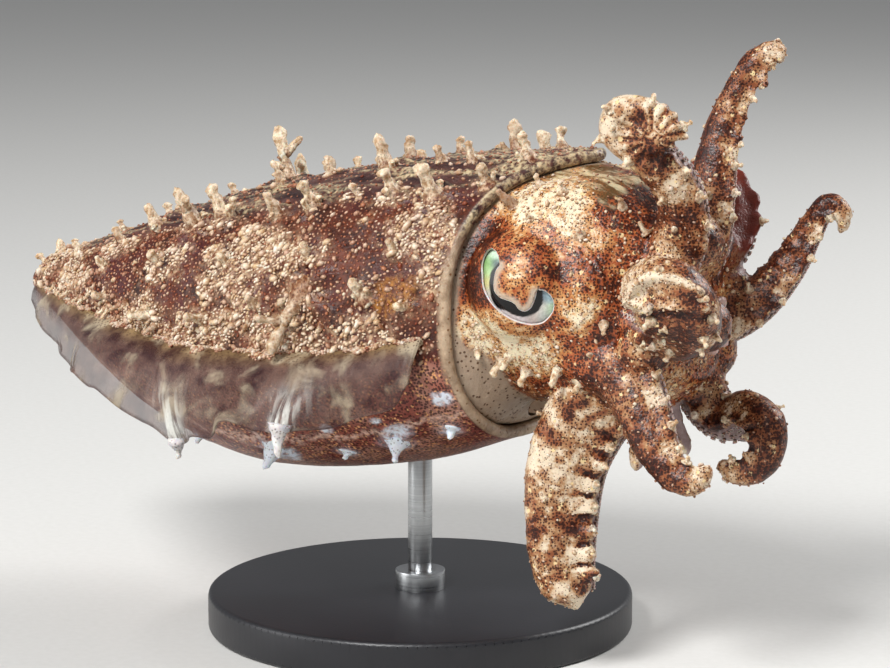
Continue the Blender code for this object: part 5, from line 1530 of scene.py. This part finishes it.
# Silicone skin of the head and arms: cream, tan, rust and dark brown run into one another, all set with
# dark pigment spots about 0.35 mm apart that are small on cream and nearly touch on brown. Wet, with
# small glints from its grain.
head_skin, tree, place = new_material(
    "pigmented_silicone_head_skin", Roughness=0.36, IOR=1.4,
    Subsurface_Weight=0.12, Subsurface_Scale=0.5 * MM, Subsurface_Radius=(1.0, 0.45, 0.25),
)
zone = zones(tree, ("dark", "olive", "oral", "limb", "neck", "red", "fold"))
mottle = node(tree, "TexNoise", {"Vector": place, "Scale": 1 / (1.5 * MM), "Detail": 4.0, "Roughness": 0.65})
fine = node(tree, "TexNoise", {"Vector": place, "Scale": 1 / (0.5 * MM), "Detail": 3.0, "Roughness": 0.6})
uneven = {"From Min": 0.34, "From Max": 0.66, "To Min": -0.2, "To Max": 0.2}
uneven = node(tree, "MapRange", {"Value": mottle, **uneven})
level = node(tree, "Math", {0: zone["dark"], 1: uneven})
uneven = {"From Min": 0.36, "From Max": 0.64, "To Min": -0.07, "To Max": 0.07}
uneven = node(tree, "MapRange", {"Value": fine, **uneven})
level = node(tree, "Math", {0: level, 1: uneven}, use_clamp=True)
tan_share, brown_share, dark_share, fleck_share = (
    node(tree, "MapRange", {"Value": level, "From Min": start, "From Max": end})
    for start, end in ((0.15, 0.38), (0.38, 0.6), (0.62, 0.92), (0.95, 0.6))
)
cream, tan, brown = (
    painted(tree, on_head, (zone["limb"], on_arms))
    for on_head, on_arms in (("E6D8B8", "DCCAB0"), ("C08A54", "AC835C"), ("9C4E28", "8A5030"))
)
# Pale flecks and dark spots: each cell of a pattern draws the size of its own
flecks = node(tree, "TexVoronoi", {"Vector": place, "Scale": 1 / (0.95 * MM)}, output="Distance")
fleck_draw = node(tree, "SeparateColor", {"Color": flecks.node.outputs["Color"]}, output="Red")
fleck_size = node(tree, "MapRange", {"Value": fleck_draw, "From Min": 0.45, "From Max": 1.0, "To Max": 0.42})
fleck = node(tree, "Math", {0: fleck_size, 1: flecks}, operation="SUBTRACT")
fleck = node(
    tree, "MapRange", {"Value": fleck, "From Min": -0.02, "From Max": 0.1}, interpolation_type="SMOOTHSTEP"
)
cells = {"Vector": place, "Scale": 1 / (0.35 * MM), "Randomness": 0.75}
cells = node(tree, "TexVoronoi", cells, output="Distance")
cell_draw = node(tree, "SeparateColor", {"Color": cells.node.outputs["Color"]}, output="Red")
own_size = node(tree, "MapRange", {"Value": cell_draw, "To Min": 0.8, "To Max": 1.15})
spot_size = node(tree, "MapRange", {"Value": level, "From Max": 0.85, "To Min": 0.14, "To Max": 0.62})
spot_size = node(tree, "Math", {0: spot_size, 1: own_size}, operation="MULTIPLY")
spot = node(tree, "Math", {0: spot_size, 1: cells}, operation="SUBTRACT")
spot = node(
    tree, "MapRange", {"Value": spot, "From Min": -0.05, "From Max": 0.05}, interpolation_type="SMOOTHSTEP"
)
streak_place = node(tree, "Mapping", {"Vector": place, "Scale": (1 / 0.0042, 1 / 0.0012, 1 / 0.0022)})
streaks = blotches(tree, streak_place, 1.0, 4.0, 0.42, 0.58, roughness=0.65)
neck_spots = pigment_spots(tree, place, 0.62 * MM, 0.3, 0.22, most=0.9)
ground = painted(
    tree, cream, (tan_share, tan), (brown_share, brown), (dark_share, "562210"),
    (fleck, "E2C795", fleck_share),
)
spot_tone = painted(tree, "4A1E0E", (level, "200804"))
olive_tone = painted(tree, "5E4420", (streaks, "CFC09A"))
red_tone = painted(tree, "2E0C07", (mottle, "8A3420"))
lilac = painted(tree, "7E6460", (fine, "BBA7A6"))
beige = painted(tree, "8C7460", (mottle, "B9A690"), (neck_spots, "4E2E16"))
inner = painted(tree, "9A8470", (mottle, "CBBAA6"))
skin = painted(
    tree, ground, (spot, spot_tone, 0.92), (zone["olive"], olive_tone, 0.75), (zone["red"], red_tone),
    (zone["oral"], lilac), (zone["neck"], beige), (zone["fold"], inner),
)
pebbles = node(tree, "TexVoronoi", {"Vector": place, "Scale": 1 / (0.3 * MM)}, output="Distance")
relief = node(tree, "Bump", {"Height": pebbles, "Strength": 0.5, "Distance": -0.07 * MM})
relief = node(tree, "Bump", {"Height": mottle, "Strength": 0.5, "Distance": 0.35 * MM, "Normal": relief})
wire(tree, Base_Color=skin, Normal=relief)
flesh_nodes = [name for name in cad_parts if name.startswith(("head", "arm_", "tentacle_"))]
put_in_place(head, head_skin, "head_skin", *flesh_nodes)


# Papillae of the head and arms: short fingers behind and under the eye, in two rows along each arm's outer
# side, and a small cream knob on each scallop of the arms' margins.
HEAD_PAPILLAE = (  # x, angle, height and tint, on both sides
    (5.2, 130, 2.8, 0.6), (7.5, 116, 1.4, 0.3), (12.0, 128, 1.6, 0.1), (19.0, 128, 1.4, 0.4),
    (3.5, 208, 2.0, -0.15), (5.0, 204, 1.7, -0.1), (7.0, 214, 2.0, -0.15), (11.5, 212, 2.2, -0.05),
    (18.5, 186, 1.4, 0.2), (14.5, 216, 1.2, 0.0), (1.4, 196, 1.3, -0.2), (15.5, 150, 1.0, 0.2),
    (9.5, 143, 0.9, 0.1),
)
ARM_KNOBS = (  # place and height in mm, on the right side's two nearest arms
    (30.7, -22.3, 0.1, 1.7), (30.3, -17.1, -4.2, 1.6), (37.8, -20.2, 0.5, 1.1), (36.8, -17.7, -1.9, 1.2),
    (34.7, -17.9, -3.7, 1.1), (37.5, -21.8, 3.0, 1.0), (33.0, -23.8, 5.9, 0.9), (22.6, -15.6, 24.4, 1.3),
    (28.3, -14.4, 25.6, 1.2), (20.4, -14.5, 20.6, 1.5), (23.9, -13.8, 18.0, 1.2), (26.2, -11.0, 12.8, 1.0),
    (31.2, -12.6, 22.0, 1.2),
)
ARM_PAPILLA_GAP = 8.0 * MM
ARM_PAPILLA_HEIGHT = 1.3 * MM
ARM_PAPILLA_TURN = 48  # degrees from the middle of the arm's outer side
KNOB_HEIGHT = 0.85 * MM

head_fingers = Cluster()
draw = random.Random(SEED)
unwrap_tree = search_tree(points)


def head_finger(spot, direction, tall, radius, tint, number):
    """A finger rooted on the nearest point of the finished skin."""
    root, index, _ = unwrap_tree.find(spot)
    draws = finger_draws(draw)
    finger(head_fingers, np.array(root), unit(direction), tall, draws, radius, limb_facts[index, 4:6], tint,
           number)


for number, (x, degrees, tall, tint) in enumerate(HEAD_PAPILLAE):
    for side in (-1, 1):
        spot, direction = surface_at(head_points, x * MM, side_angle(side, degrees))
        head_finger(spot, direction + (-0.25, 0, -0.35 if degrees > 180 else 0.25), tall * MM,
                    0.22 * MM + 0.13 * tall * MM, tint, 200 + number)
for number, (*spot, tall) in enumerate(ARM_KNOBS):
    root = unwrap_tree.find(np.array(spot) * MM)[1]
    wide = 0.2 * MM + 0.12 * tall * MM
    head_finger(points[root], outward[root], 0.85 * tall * MM, wide, -0.2, 260 + number)
for number, name in enumerate(ARMS):
    limb = limbs[name]
    for index in range(0 if name == "arm_left_2" else int(0.8 * limb.length / ARM_PAPILLA_GAP)):
        share = 0.16 + index * ARM_PAPILLA_GAP / limb.length
        turn = 180 + (ARM_PAPILLA_TURN if index % 2 else -ARM_PAPILLA_TURN) + draw.uniform(-14, 14)
        turn = math.radians(turn)
        spot, direction = (table[0] for table in limb.surface(np.array([share]), np.array([turn])))
        tall = ARM_PAPILLA_HEIGHT * draw.uniform(0.5, 1.2) * min(1, 0.3 + limb.size(share)[0] / (4 * MM))
        head_finger(spot, direction + limb.at(limb.along, [share])[0] * 0.3, tall, 0.12 * MM + 0.14 * tall,
                    draw.uniform(-0.1, 0.4), 300 + index)
    for side in (1, -1):
        for index in range(int(limb.length / SCALLOP_PITCH) + 1):
            share = ((index + 0.5) * math.pi - side) / math.pi * SCALLOP_PITCH / limb.length
            if not 0.3 < share < min(0.97, limb.frill_end) or draw.random() < 0.2:
                continue
            spot, direction = (table[0] for table in limb.surface(
                np.array([share]), np.array([side * MARGIN_ANGLE]), MARGIN_HEIGHT * 0.9))
            tall = KNOB_HEIGHT * draw.uniform(0.5, 1.2) * min(1, 0.35 + limb.size(share)[0] / (4 * MM))
            head_finger(spot, direction, tall, 0.2 * MM + 0.12 * tall, draw.uniform(-0.3, 0.0), 400 + index)
# They are cream almost to the root
head_fingers.marks["rise"] = [0.35 + 0.65 * values for values in head_fingers.marks["rise"]]
put_in_place(head_fingers.piece("head_papillae"), papilla_skin, "head_skin")


# Granules of the head and arms: the same low beads as the mantle's, crowded on the cream patches.
draw = random.Random(55)
bald = np.maximum.reduce([oral, collar_share, fold, 0.9 * is_limb["arm_left_2"] * on_limb, 0.6 * olive, on_fan,
                          ease(from_eye, 1.2, 1.1), (limb_number > len(ARMS)) * 1.0])
spacing = (0.42 + 0.5 * darkness) * MM * (1 + bald) * (1 + 0.25 * on_limb + 0.4 * is_limb["arm_right_4"])
under_rim = (points[:, 0] < rim_shift(head_angle) + 1.5 * MM) * (limb_number == 0)
spacing = np.where((bald > 0.8) | under_rim, 0, spacing)
kept = np.array(thin_out(points, spacing, draw))
for name, mine in (("head_beads", limb_number[kept] == 0), ("arm_beads", limb_number[kept] > 0)):
    beads = Cluster()
    chosen = kept[mine]
    large = np.array([draw.random() < 0.1 for _ in chosen])
    wide = np.array([draw.uniform(0.11, 0.22) for _ in chosen]) * MM
    wide = wide * (1.1 - 0.4 * darkness[chosen]) * (1 + 0.8 * large)
    creams = 1.1 - 1.1 * darkness[chosen] + 0.5 * large + np.array([draw.gauss(0, 0.22) for _ in chosen])
    creams = np.clip(creams, 0.2, 1)
    jitter = np.array([[draw.uniform(-BEAD_JITTER, BEAD_JITTER) * MM for _ in range(3)] for _ in chosen])
    strew_beads(beads, points[chosen] + jitter, outward[chosen], wide, creams, limb_facts[chosen, 4:6], draw)
    put_in_place(beads.piece(name), bead_skin, "head_skin")


# Suckers: four rows of small stalked cups on each arm's inner side, each with a raised rim round a dished
# middle. They are cast with the arms in a paler, firmer silicone.
SUCKER_ROWS = (-29, -10, 10, 29)  # degrees from the middle of the oral side
SUCKER_SHARE = 0.105  # radius beside the arm's half width there
SUCKER_LEAST = 0.2 * MM
SUCKER_SIDES = 9
SUCKER_PROFILE = (  # shares of the radius: height and width
    (-0.4, 0.7), (0.25, 0.72), (0.55, 1.0), (0.85, 1.02), (1.0, 0.86), (0.92, 0.68), (0.62, 0.5), (0.5, 0.2),
)
suckers = Cluster()
cup = np.array([
    (math.cos(turn) * wide, math.sin(turn) * wide, high)
    for high, wide in SUCKER_PROFILE for turn in angles_round(SUCKER_SIDES)
])
cup_faces = capped_faces(len(SUCKER_PROFILE), SUCKER_SIDES)
# Pale at each cup's rim, and painted darker down into its dish and at its foot, which is painted shade
cup_painted_shading = np.repeat(np.array([0, 0.3, 0.8, 1, 1, 0.6, 0.2, 0.0]), SUCKER_SIDES)
for number, name in enumerate(ARMS, start=1):
    limb = limbs[name]
    share = 0.12
    while share < 0.97:
        radius = max(SUCKER_SHARE * limb.size(share)[0], SUCKER_LEAST)
        turns = np.radians(SUCKER_ROWS)
        shares = share + np.array((0, 0.5, 0, 0.5)) * 2.5 * radius / limb.length
        spots, directions = limb.surface(shares, turns)
        for spot, direction in zip(spots, directions):
            if unwrap_tree.find(spot)[2] > 0.45 * MM:
                continue
            first, second = crossways(direction)
            placed = spot + radius * (cup[:, :1] * first + cup[:, 1:2] * second + cup[:, 2:] * direction)
            root_place = (0.3 + 0.068 * (number - 1), 0.05 + 0.9 * share)
            suckers.add(placed, cup_faces, patch_on_unwrap(placed, spot, root_place), rise=cup_painted_shading)
        share += 2.5 * radius / limb.length
# Sucker skin: pale silicone at the rims, with painted shade down in the dishes and at the feet
sucker_skin, tree, place = new_material(
    "ivory_silicone_suckers", Roughness=0.4, IOR=1.4, Subsurface_Weight=0.25, Subsurface_Scale=0.4 * MM
)
mottle = node(tree, "TexNoise", {"Vector": place, "Scale": 1 / (1.3 * MM), "Detail": 2.0})
rim_tone = painted(tree, "A8938C", (mottle, "D6C8BE"))
relief = node(tree, "Bump", {"Height": mottle, "Strength": 0.3, "Distance": 0.05 * MM})
wire(tree, Base_Color=painted(tree, "6E5450", (zones(tree, ("rise",))["rise"], rim_tone)), Normal=relief)
put_in_place(suckers.piece("suckers"), sucker_skin, "arm_skin")


# Funnel: the jet nozzle under the head, a soft tapering tube with a rolled lip,
# cast in one with a hollow bore.
FUNNEL_WALL = 0.9 * MM
FUNNEL_BORE = 0.42  # share of the length at the bore's floor
rings = [funnel_ring(share, funnel_radius(share)) for share in np.linspace(0, 1, 30)]
for turn in np.linspace(0, math.pi, 9)[1:-1]:
    lip = funnel_radius(1) - FUNNEL_WALL / 2 + FUNNEL_WALL / 2 * math.cos(turn)
    rings.append(funnel_ring(1, lip, FUNNEL_WALL / 2 * math.sin(turn)))
rings += [funnel_ring(share, funnel_radius(share) - FUNNEL_WALL) for share in np.linspace(1, FUNNEL_BORE, 16)]
funnel_points = np.vstack(rings)
funnel_lumps = 0.12 * MM * lumps(funnel_points, 2.2 * MM, 70)
funnel_points = funnel_points + funnel_lumps[:, None] * np.array((0, 0.5, 1.0))
funnel = mesh_piece("funnel_tube", to_row(funnel_points), capped_faces(len(rings), FUNNEL_SIDES))
# Funnel skin: pale beige silicone with scattered brown pigment spots, smoother than the head's
funnel_skin, tree, place = new_material(
    "beige_silicone_funnel_skin", Roughness=0.34, IOR=1.4, Subsurface_Weight=0.2, Subsurface_Scale=0.6 * MM
)
mottle = node(tree, "TexNoise", {"Vector": place, "Scale": 1 / (1.8 * MM), "Detail": 4.0})
spots = pigment_spots(tree, place, 0.8 * MM, 0.3, 0.2)
relief = node(tree, "Bump", {"Height": mottle, "Strength": 0.4, "Distance": 0.15 * MM})
wire(tree, Base_Color=painted(tree, "8E6E58", (mottle, "C9B29A"), (spots, "5A2C18")), Normal=relief)
put_in_place(funnel, funnel_skin, "funnel_skin", "funnel")


# Mouth: a lobed ring of pale skin in the middle of the arms, folded inwards round the horny beak.
MEMBRANE_RADIUS = 3.4 * MM
MEMBRANE_LAPPETS = 7
MEMBRANE_PROFILE = (  # mm ahead, share of the radius
    (-0.3, 0.8), (0, 0.82), (0.9, 0.95), (1.9, 1.0), (2.2, 0.86), (1.6, 0.7), (0.9, 0.6), (0.5, 0.5),
)
MEMBRANE_SIDES = 168
turns = angles_round(MEMBRANE_SIDES)
lobes = np.cos(MEMBRANE_LAPPETS * turns)
creases = np.cos(42 * turns)
rings = []
for ahead, radius in smooth(MEMBRANE_PROFILE, 44):
    spread = MEMBRANE_RADIUS * radius * (1 + 0.1 * lobes * ease(radius, 0.8, 1.0) + 0.02 * creases)
    rings.append(np.column_stack([
        MOUTH[0] + ahead * MM + 0.22 * MM * lobes * ease(ahead, 1.0, 2.0),
        MOUTH[1] + spread * np.cos(turns),
        MOUTH[2] + spread * np.sin(turns),
    ]))
membrane = mesh_piece("mouth_ring", to_row(np.vstack(rings)), capped_faces(len(rings), MEMBRANE_SIDES))
mouth_skin, tree, place = new_material(
    "pink_silicone_mouth_skin", Roughness=0.28, IOR=1.4, Subsurface_Weight=0.3, Subsurface_Scale=0.6 * MM
)
mottle = node(tree, "TexNoise", {"Vector": place, "Scale": 1 / (1.0 * MM), "Detail": 4.0})
relief = node(tree, "Bump", {"Height": mottle, "Strength": 0.4, "Distance": 0.1 * MM})
wire(tree, Base_Color=painted(tree, "9A7268", (mottle, "D9C0B6")), Normal=relief)
put_in_place(membrane, mouth_skin, "mouth_skin", "mouth_membrane")

# Beak: dark polished horn-coloured resin with growth lines across it
BEAK_RADIUS = 1.5 * MM
BEAK_NARROWNESS = 0.75
BEAK_PROFILE = ((0.6, 0.94), (1.25, 1.0), (1.9, 0.95), (2.6, 0.7), (3.1, 0.35), (3.28, 0.1))
BEAK_SIDES = 64
turns = angles_round(BEAK_SIDES)
rings = []
for ahead, radius in smooth(BEAK_PROFILE, 40):
    hook = -0.25 * MM * ease(ahead, 2.0, 3.3)
    ridge = 1 + 0.1 * np.exp(-(((turns - math.pi / 2) / 0.3) ** 2))
    rings.append(np.column_stack([
        np.full(BEAK_SIDES, MOUTH[0] + ahead * MM),
        MOUTH[1] + BEAK_NARROWNESS * radius * BEAK_RADIUS * np.cos(turns),
        MOUTH[2] + hook + radius * BEAK_RADIUS * ridge * np.sin(turns),
    ]))
beak = mesh_piece("beak_horn", to_row(np.vstack(rings)), capped_faces(len(rings), BEAK_SIDES))
horn, tree, place = new_material(
    "polished_horn_resin", Roughness=0.22, IOR=1.5, Coat_Weight=0.4, Coat_Roughness=0.1
)
lines = {"Vector": place, "Scale": 1 / (0.5 * MM), "Distortion": 1.5, "Detail": 2.0}
lines = node(tree, "TexWave", lines, output="Fac")
relief = node(tree, "Bump", {"Height": lines, "Strength": 0.3, "Distance": 0.04 * MM})
wire(tree, Base_Color=painted(tree, "120A07", (lines, "3A2416")), Normal=relief)
put_in_place(beak, horn, "beak", "beak")


# Eyes: polished resin balls, painted under a clear coat. The black pupil is a wavy slot under the upper fold,
# with a silver-green iris in front of it and pinkish skin below.
PUPIL_EDGE = (
    (-1.7, 2.59), (-2.56, 1.61), (-2.75, 0.38), (-2.67, -0.55), (-2.51, -1.33), (-1.97, -2.04),
    (-1.22, -2.28), (-0.12, -2.84), (0.65, -3.06), (1.28, -3.03), (2.26, -2.59), (2.78, -1.9),
    (2.88, -1.13), (2.6, 0.4), (0, 2),
)
IRIS_SPOTS = (  # forward, upward, reach in mm and the colour there
    (-3.67, 2.9, 0.9, "7FA868"), (-3.5, 2.0, 0.8, "9DB884"), (-2.81, 4.33, 0.9, "C4DCC4"),
    (-3.49, 0.53, 0.9, "C4BE80"), (-3.11, -0.94, 1.0, "D4CFC8"), (-2.2, -2.3, 0.9, "D2CCCC"),
    (-0.6, -3.2, 1.0, "CDC4C2"), (0.9, -3.9, 1.0, "CFC8CA"), (2.01, -3.3, 0.9, "CDBFB4"),
    (3.2, -2.5, 0.7, "D9D3CC"), (3.33, -1.46, 0.6, "3A3F50"), (4.12, -1.35, 0.6, "A9C6D0"),
    (4.34, -2.94, 0.8, "BFE3C0"), (3.3, -3.8, 0.8, "B9C7C4"), (-2.6, 2.9, 0.55, "2B3550"),
)


def inside_outline(places, outline):
    """Distance in mm from each place to the outline, above 0 inside it."""
    starts, ends = outline, np.roll(outline, -1, axis=0)
    inside = np.zeros(len(places), bool)
    nearest = np.full(len(places), 1e9)
    for start, end in zip(starts, ends):
        edge = end - start
        share = np.clip(((places - start) @ edge) / max(edge @ edge, 1e-12), 0, 1)
        nearest = np.minimum(nearest, np.linalg.norm(places - start - share[:, None] * edge, axis=1))
        crosses = (start[1] > places[:, 1]) != (end[1] > places[:, 1])
        rise = np.where(np.abs(end[1] - start[1]) < 1e-12, 1e-12, end[1] - start[1])
        inside ^= crosses & (places[:, 0] < start[0] + (places[:, 1] - start[1]) / rise * edge[0])
    return np.where(inside, nearest, -nearest)


def make_eye(name, side):
    deselect()
    bpy.ops.mesh.primitive_uv_sphere_add(segments=256, ring_count=128, radius=1)
    eye = bpy.context.object
    eye.name = name
    unit_points = np.array([vertex.co for vertex in eye.data.vertices])
    facing, forward, upright = eye_frame(side)
    turned = unit_points[:, :1] * forward + unit_points[:, 1:2] * upright + unit_points[:, 2:] * facing
    away = turned * EYE_RADII
    eye.data.vertices.foreach_set("co", to_row(away + EYE_CENTRE * (1, side, 1)).ravel())
    eye.data.update()
    places = np.column_stack([away @ forward, away @ upright]) / MM
    weights = np.array([np.exp(-(((places - (p, q)) ** 2).sum(axis=1)) / reach**2) + 1e-9
                        for p, q, reach, _ in IRIS_SPOTS])
    colours = np.array([srgb(code) for *_, code in IRIS_SPOTS])
    colour = (weights[:, :, None] * colours[:, None, :]).sum(axis=0) / weights.sum(axis=0)[:, None]
    pupil = ease(inside_outline(places, smooth(PUPIL_EDGE + PUPIL_EDGE[:1], 80)), -0.6, -0.48)
    eye.data.color_attributes.new("iris", "FLOAT_COLOR", "POINT").data.foreach_set("color", colour.ravel())
    paint(eye, pupil=pupil)
    face_outwards(eye)
    return eye


# Eye resin: clear-coated and mirror smooth, so it carries sharp highlights over the painted iris
eye_resin, tree, place = new_material(
    "clear_coated_eye_resin", Roughness=0.25, IOR=1.35, Coat_Weight=0.4, Coat_Roughness=0.02, Coat_IOR=1.4
)
iris = node(tree, "Attribute", output="Color", attribute_name="iris")
fibres = node(tree, "TexNoise", {"Vector": place, "Scale": 1 / (0.35 * MM), "Detail": 3.0, "Roughness": 0.7})
fibres = node(
    tree, "MapRange", {"Value": fibres, "From Min": 0.35, "From Max": 0.65, "To Min": 0.85, "To Max": 1.15}
)
tone = node(tree, "Mix", {0: 1.0, 6: iris, 7: fibres}, data_type="RGBA", blend_type="MULTIPLY")
wire(tree, Base_Color=painted(tree, tone, (zones(tree, ("pupil",))["pupil"], "050506")))
for side, name in ((1, "eye_left"), (-1, "eye_right")):
    put_in_place(make_eye(name + "_ball", side), eye_resin, "eye", name)


# Lids: the skin's edge round each eye is a thin pale roll, and the fold over the
# pupil ends in a fine white line.
LID_ROLL = 0.2 * MM
FOLD_ROLL = 0.12 * MM
ROLL_SIDES = 10


def eye_line(points, count, side, extra):
    """A line of the eye's (forward, upward) places, laid on the eyeball that much above its surface."""
    facing, forward, upright = eye_frame(side)
    line = smooth(points, count) * MM
    flat_part = line[:, :1] * forward + line[:, 1:] * upright
    radii = EYE_RADII + extra
    a = ((facing / radii) ** 2).sum()
    b = (flat_part / radii**2 * facing).sum(axis=1)
    c = ((flat_part / radii) ** 2).sum(axis=1) - 1
    lift = (-b + np.sqrt(np.maximum(b * b - a * c, 0))) / a
    return EYE_CENTRE * (1, side, 1) + flat_part + facing * lift[:, None]


def roll(name, path, radius, sides, squash=1.0):
    """A round-ended roll of skin along a path, with that radius at each point."""
    along = np.gradient(path, axis=0)
    along /= np.linalg.norm(along, axis=1)[:, None]
    radii = np.broadcast_to(radius, len(path))
    first = np.array([crossways(direction)[0] for direction in along])
    for index in range(1, len(path)):
        carried = first[index - 1] - along[index] * (first[index - 1] @ along[index])
        first[index] = unit(carried)
    second = np.cross(along, first)
    turns = angles_round(sides)
    rings = path[:, None] + radii[:, None, None] * (
        np.cos(turns)[None, :, None] * first[:, None] + squash * np.sin(turns)[None, :, None] * second[:, None]
    )
    ends = [path[0] - along[0] * radii[0] * 0.6, path[-1] + along[-1] * radii[-1] * 0.6]
    points = np.vstack([rings.reshape(-1, 3), ends])
    faces = closed_faces(len(path), sides)
    last = len(points) - 2 - sides
    faces += [[(index + 1) % sides, index, len(points) - 2] for index in range(sides)]
    faces += [[last + index, last + (index + 1) % sides, len(points) - 1] for index in range(sides)]
    return mesh_piece(name, to_row(points), faces)


lid_skin, tree, place = new_material(
    "pale_silicone_lid_edge", Roughness=0.25, IOR=1.4, Subsurface_Weight=0.3, Subsurface_Scale=0.5 * MM
)
mottle = node(tree, "TexNoise", {"Vector": place, "Scale": 1 / (0.9 * MM), "Detail": 3.0})
wire(tree, Base_Color=painted(tree, "B9A694", (mottle, "EFE8EC")))
for side, name in ((1, "left"), (-1, "right")):
    lid = roll("lid_" + name, eye_line(LID_OPENING, 150, side, 0.35 * MM), LID_ROLL, ROLL_SIDES)
    put_in_place(lid, lid_skin, "head_skin")
    fold = roll("fold_edge_" + name, eye_line(FOLD_EDGE, 110, side, 0.3 * MM), FOLD_ROLL, ROLL_SIDES)
    put_in_place(fold, lid_skin, "head_skin")


# Floor, lights and camera: a plain pale studio sweep, one large soft key light, a soft fill and a rim light.
FLOOR_SIZE = 6.0
deselect()
bpy.ops.mesh.primitive_plane_add(size=FLOOR_SIZE)
floor = bpy.context.object
floor.name = "studio_floor"
paper, tree, place = new_material("matt_studio_paper", Roughness=0.85)
grain = node(tree, "TexNoise", {"Vector": place, "Scale": 900.0, "Detail": 3.0})
wire(tree, Base_Color=painted(tree, "C9C8C4", (grain, "D2D1CE")))
floor.data.materials.append(paper)


def soft_light(name, place, target, size, power):
    lamp = bpy.data.lights.new(name, "AREA")
    lamp.shape = "DISK"
    lamp.size = size
    lamp.energy = power
    holder = bpy.data.objects.new(name, lamp)
    holder.location = place
    holder.rotation_euler = (Vector(target) - Vector(place)).to_track_quat("-Z", "Y").to_euler()
    bpy.context.scene.collection.objects.link(holder)


soft_light("key_light", (0.05, -0.55, 0.55), NECK, 0.24, 6.0)
soft_light("fill_light", (-0.5, -0.5, 0.25), NECK, 0.5, 2.0)
soft_light("rim_light", (0.3, 0.5, 0.45), NECK, 0.4, 4.0)
world = bpy.data.worlds.new("studio")
bpy.context.scene.world = world
world.use_nodes = True
world.node_tree.nodes["Background"].inputs["Color"].default_value = srgb("E6E8EC")
world.node_tree.nodes["Background"].inputs["Strength"].default_value = 0.35

# The camera stands where the photographer's did, level with the animal's side and a little above it
CAMERA_TURN = math.radians(34)
CAMERA_RISE = math.radians(10)
CAMERA_DISTANCE = 400 * MM
PICTURE_SCALE = 0.127 * MM  # one pixel of an 890 wide picture, at the neck
NECK_PIXEL = (530.0, 292.0)
PICTURE_MIDDLE = (445.0, 334.0)
SENSOR = 36.0
right = np.array((math.cos(CAMERA_TURN), math.sin(CAMERA_TURN), 0))
level_way = math.cos(CAMERA_RISE)
back = np.array((math.sin(CAMERA_TURN) * level_way, -math.cos(CAMERA_TURN) * level_way, math.sin(CAMERA_RISE)))
above = np.cross(back, right)
off_right = (NECK_PIXEL[0] - PICTURE_MIDDLE[0]) * PICTURE_SCALE
off_up = (PICTURE_MIDDLE[1] - NECK_PIXEL[1]) * PICTURE_SCALE
lens = bpy.data.cameras.new("camera")
lens.sensor_width = SENSOR
lens.lens = CAMERA_DISTANCE / PICTURE_SCALE / (2 * PICTURE_MIDDLE[0]) * SENSOR
lens.clip_start = 0.02
camera = bpy.data.objects.new("camera", lens)
camera.location = NECK - off_right * right - off_up * above + CAMERA_DISTANCE * back
camera.rotation_euler = Vector(-back).to_track_quat("-Z", "Y").to_euler()
bpy.context.scene.collection.objects.link(camera)
bpy.context.scene.camera = camera
bpy.context.scene.view_settings.view_transform = "Standard"
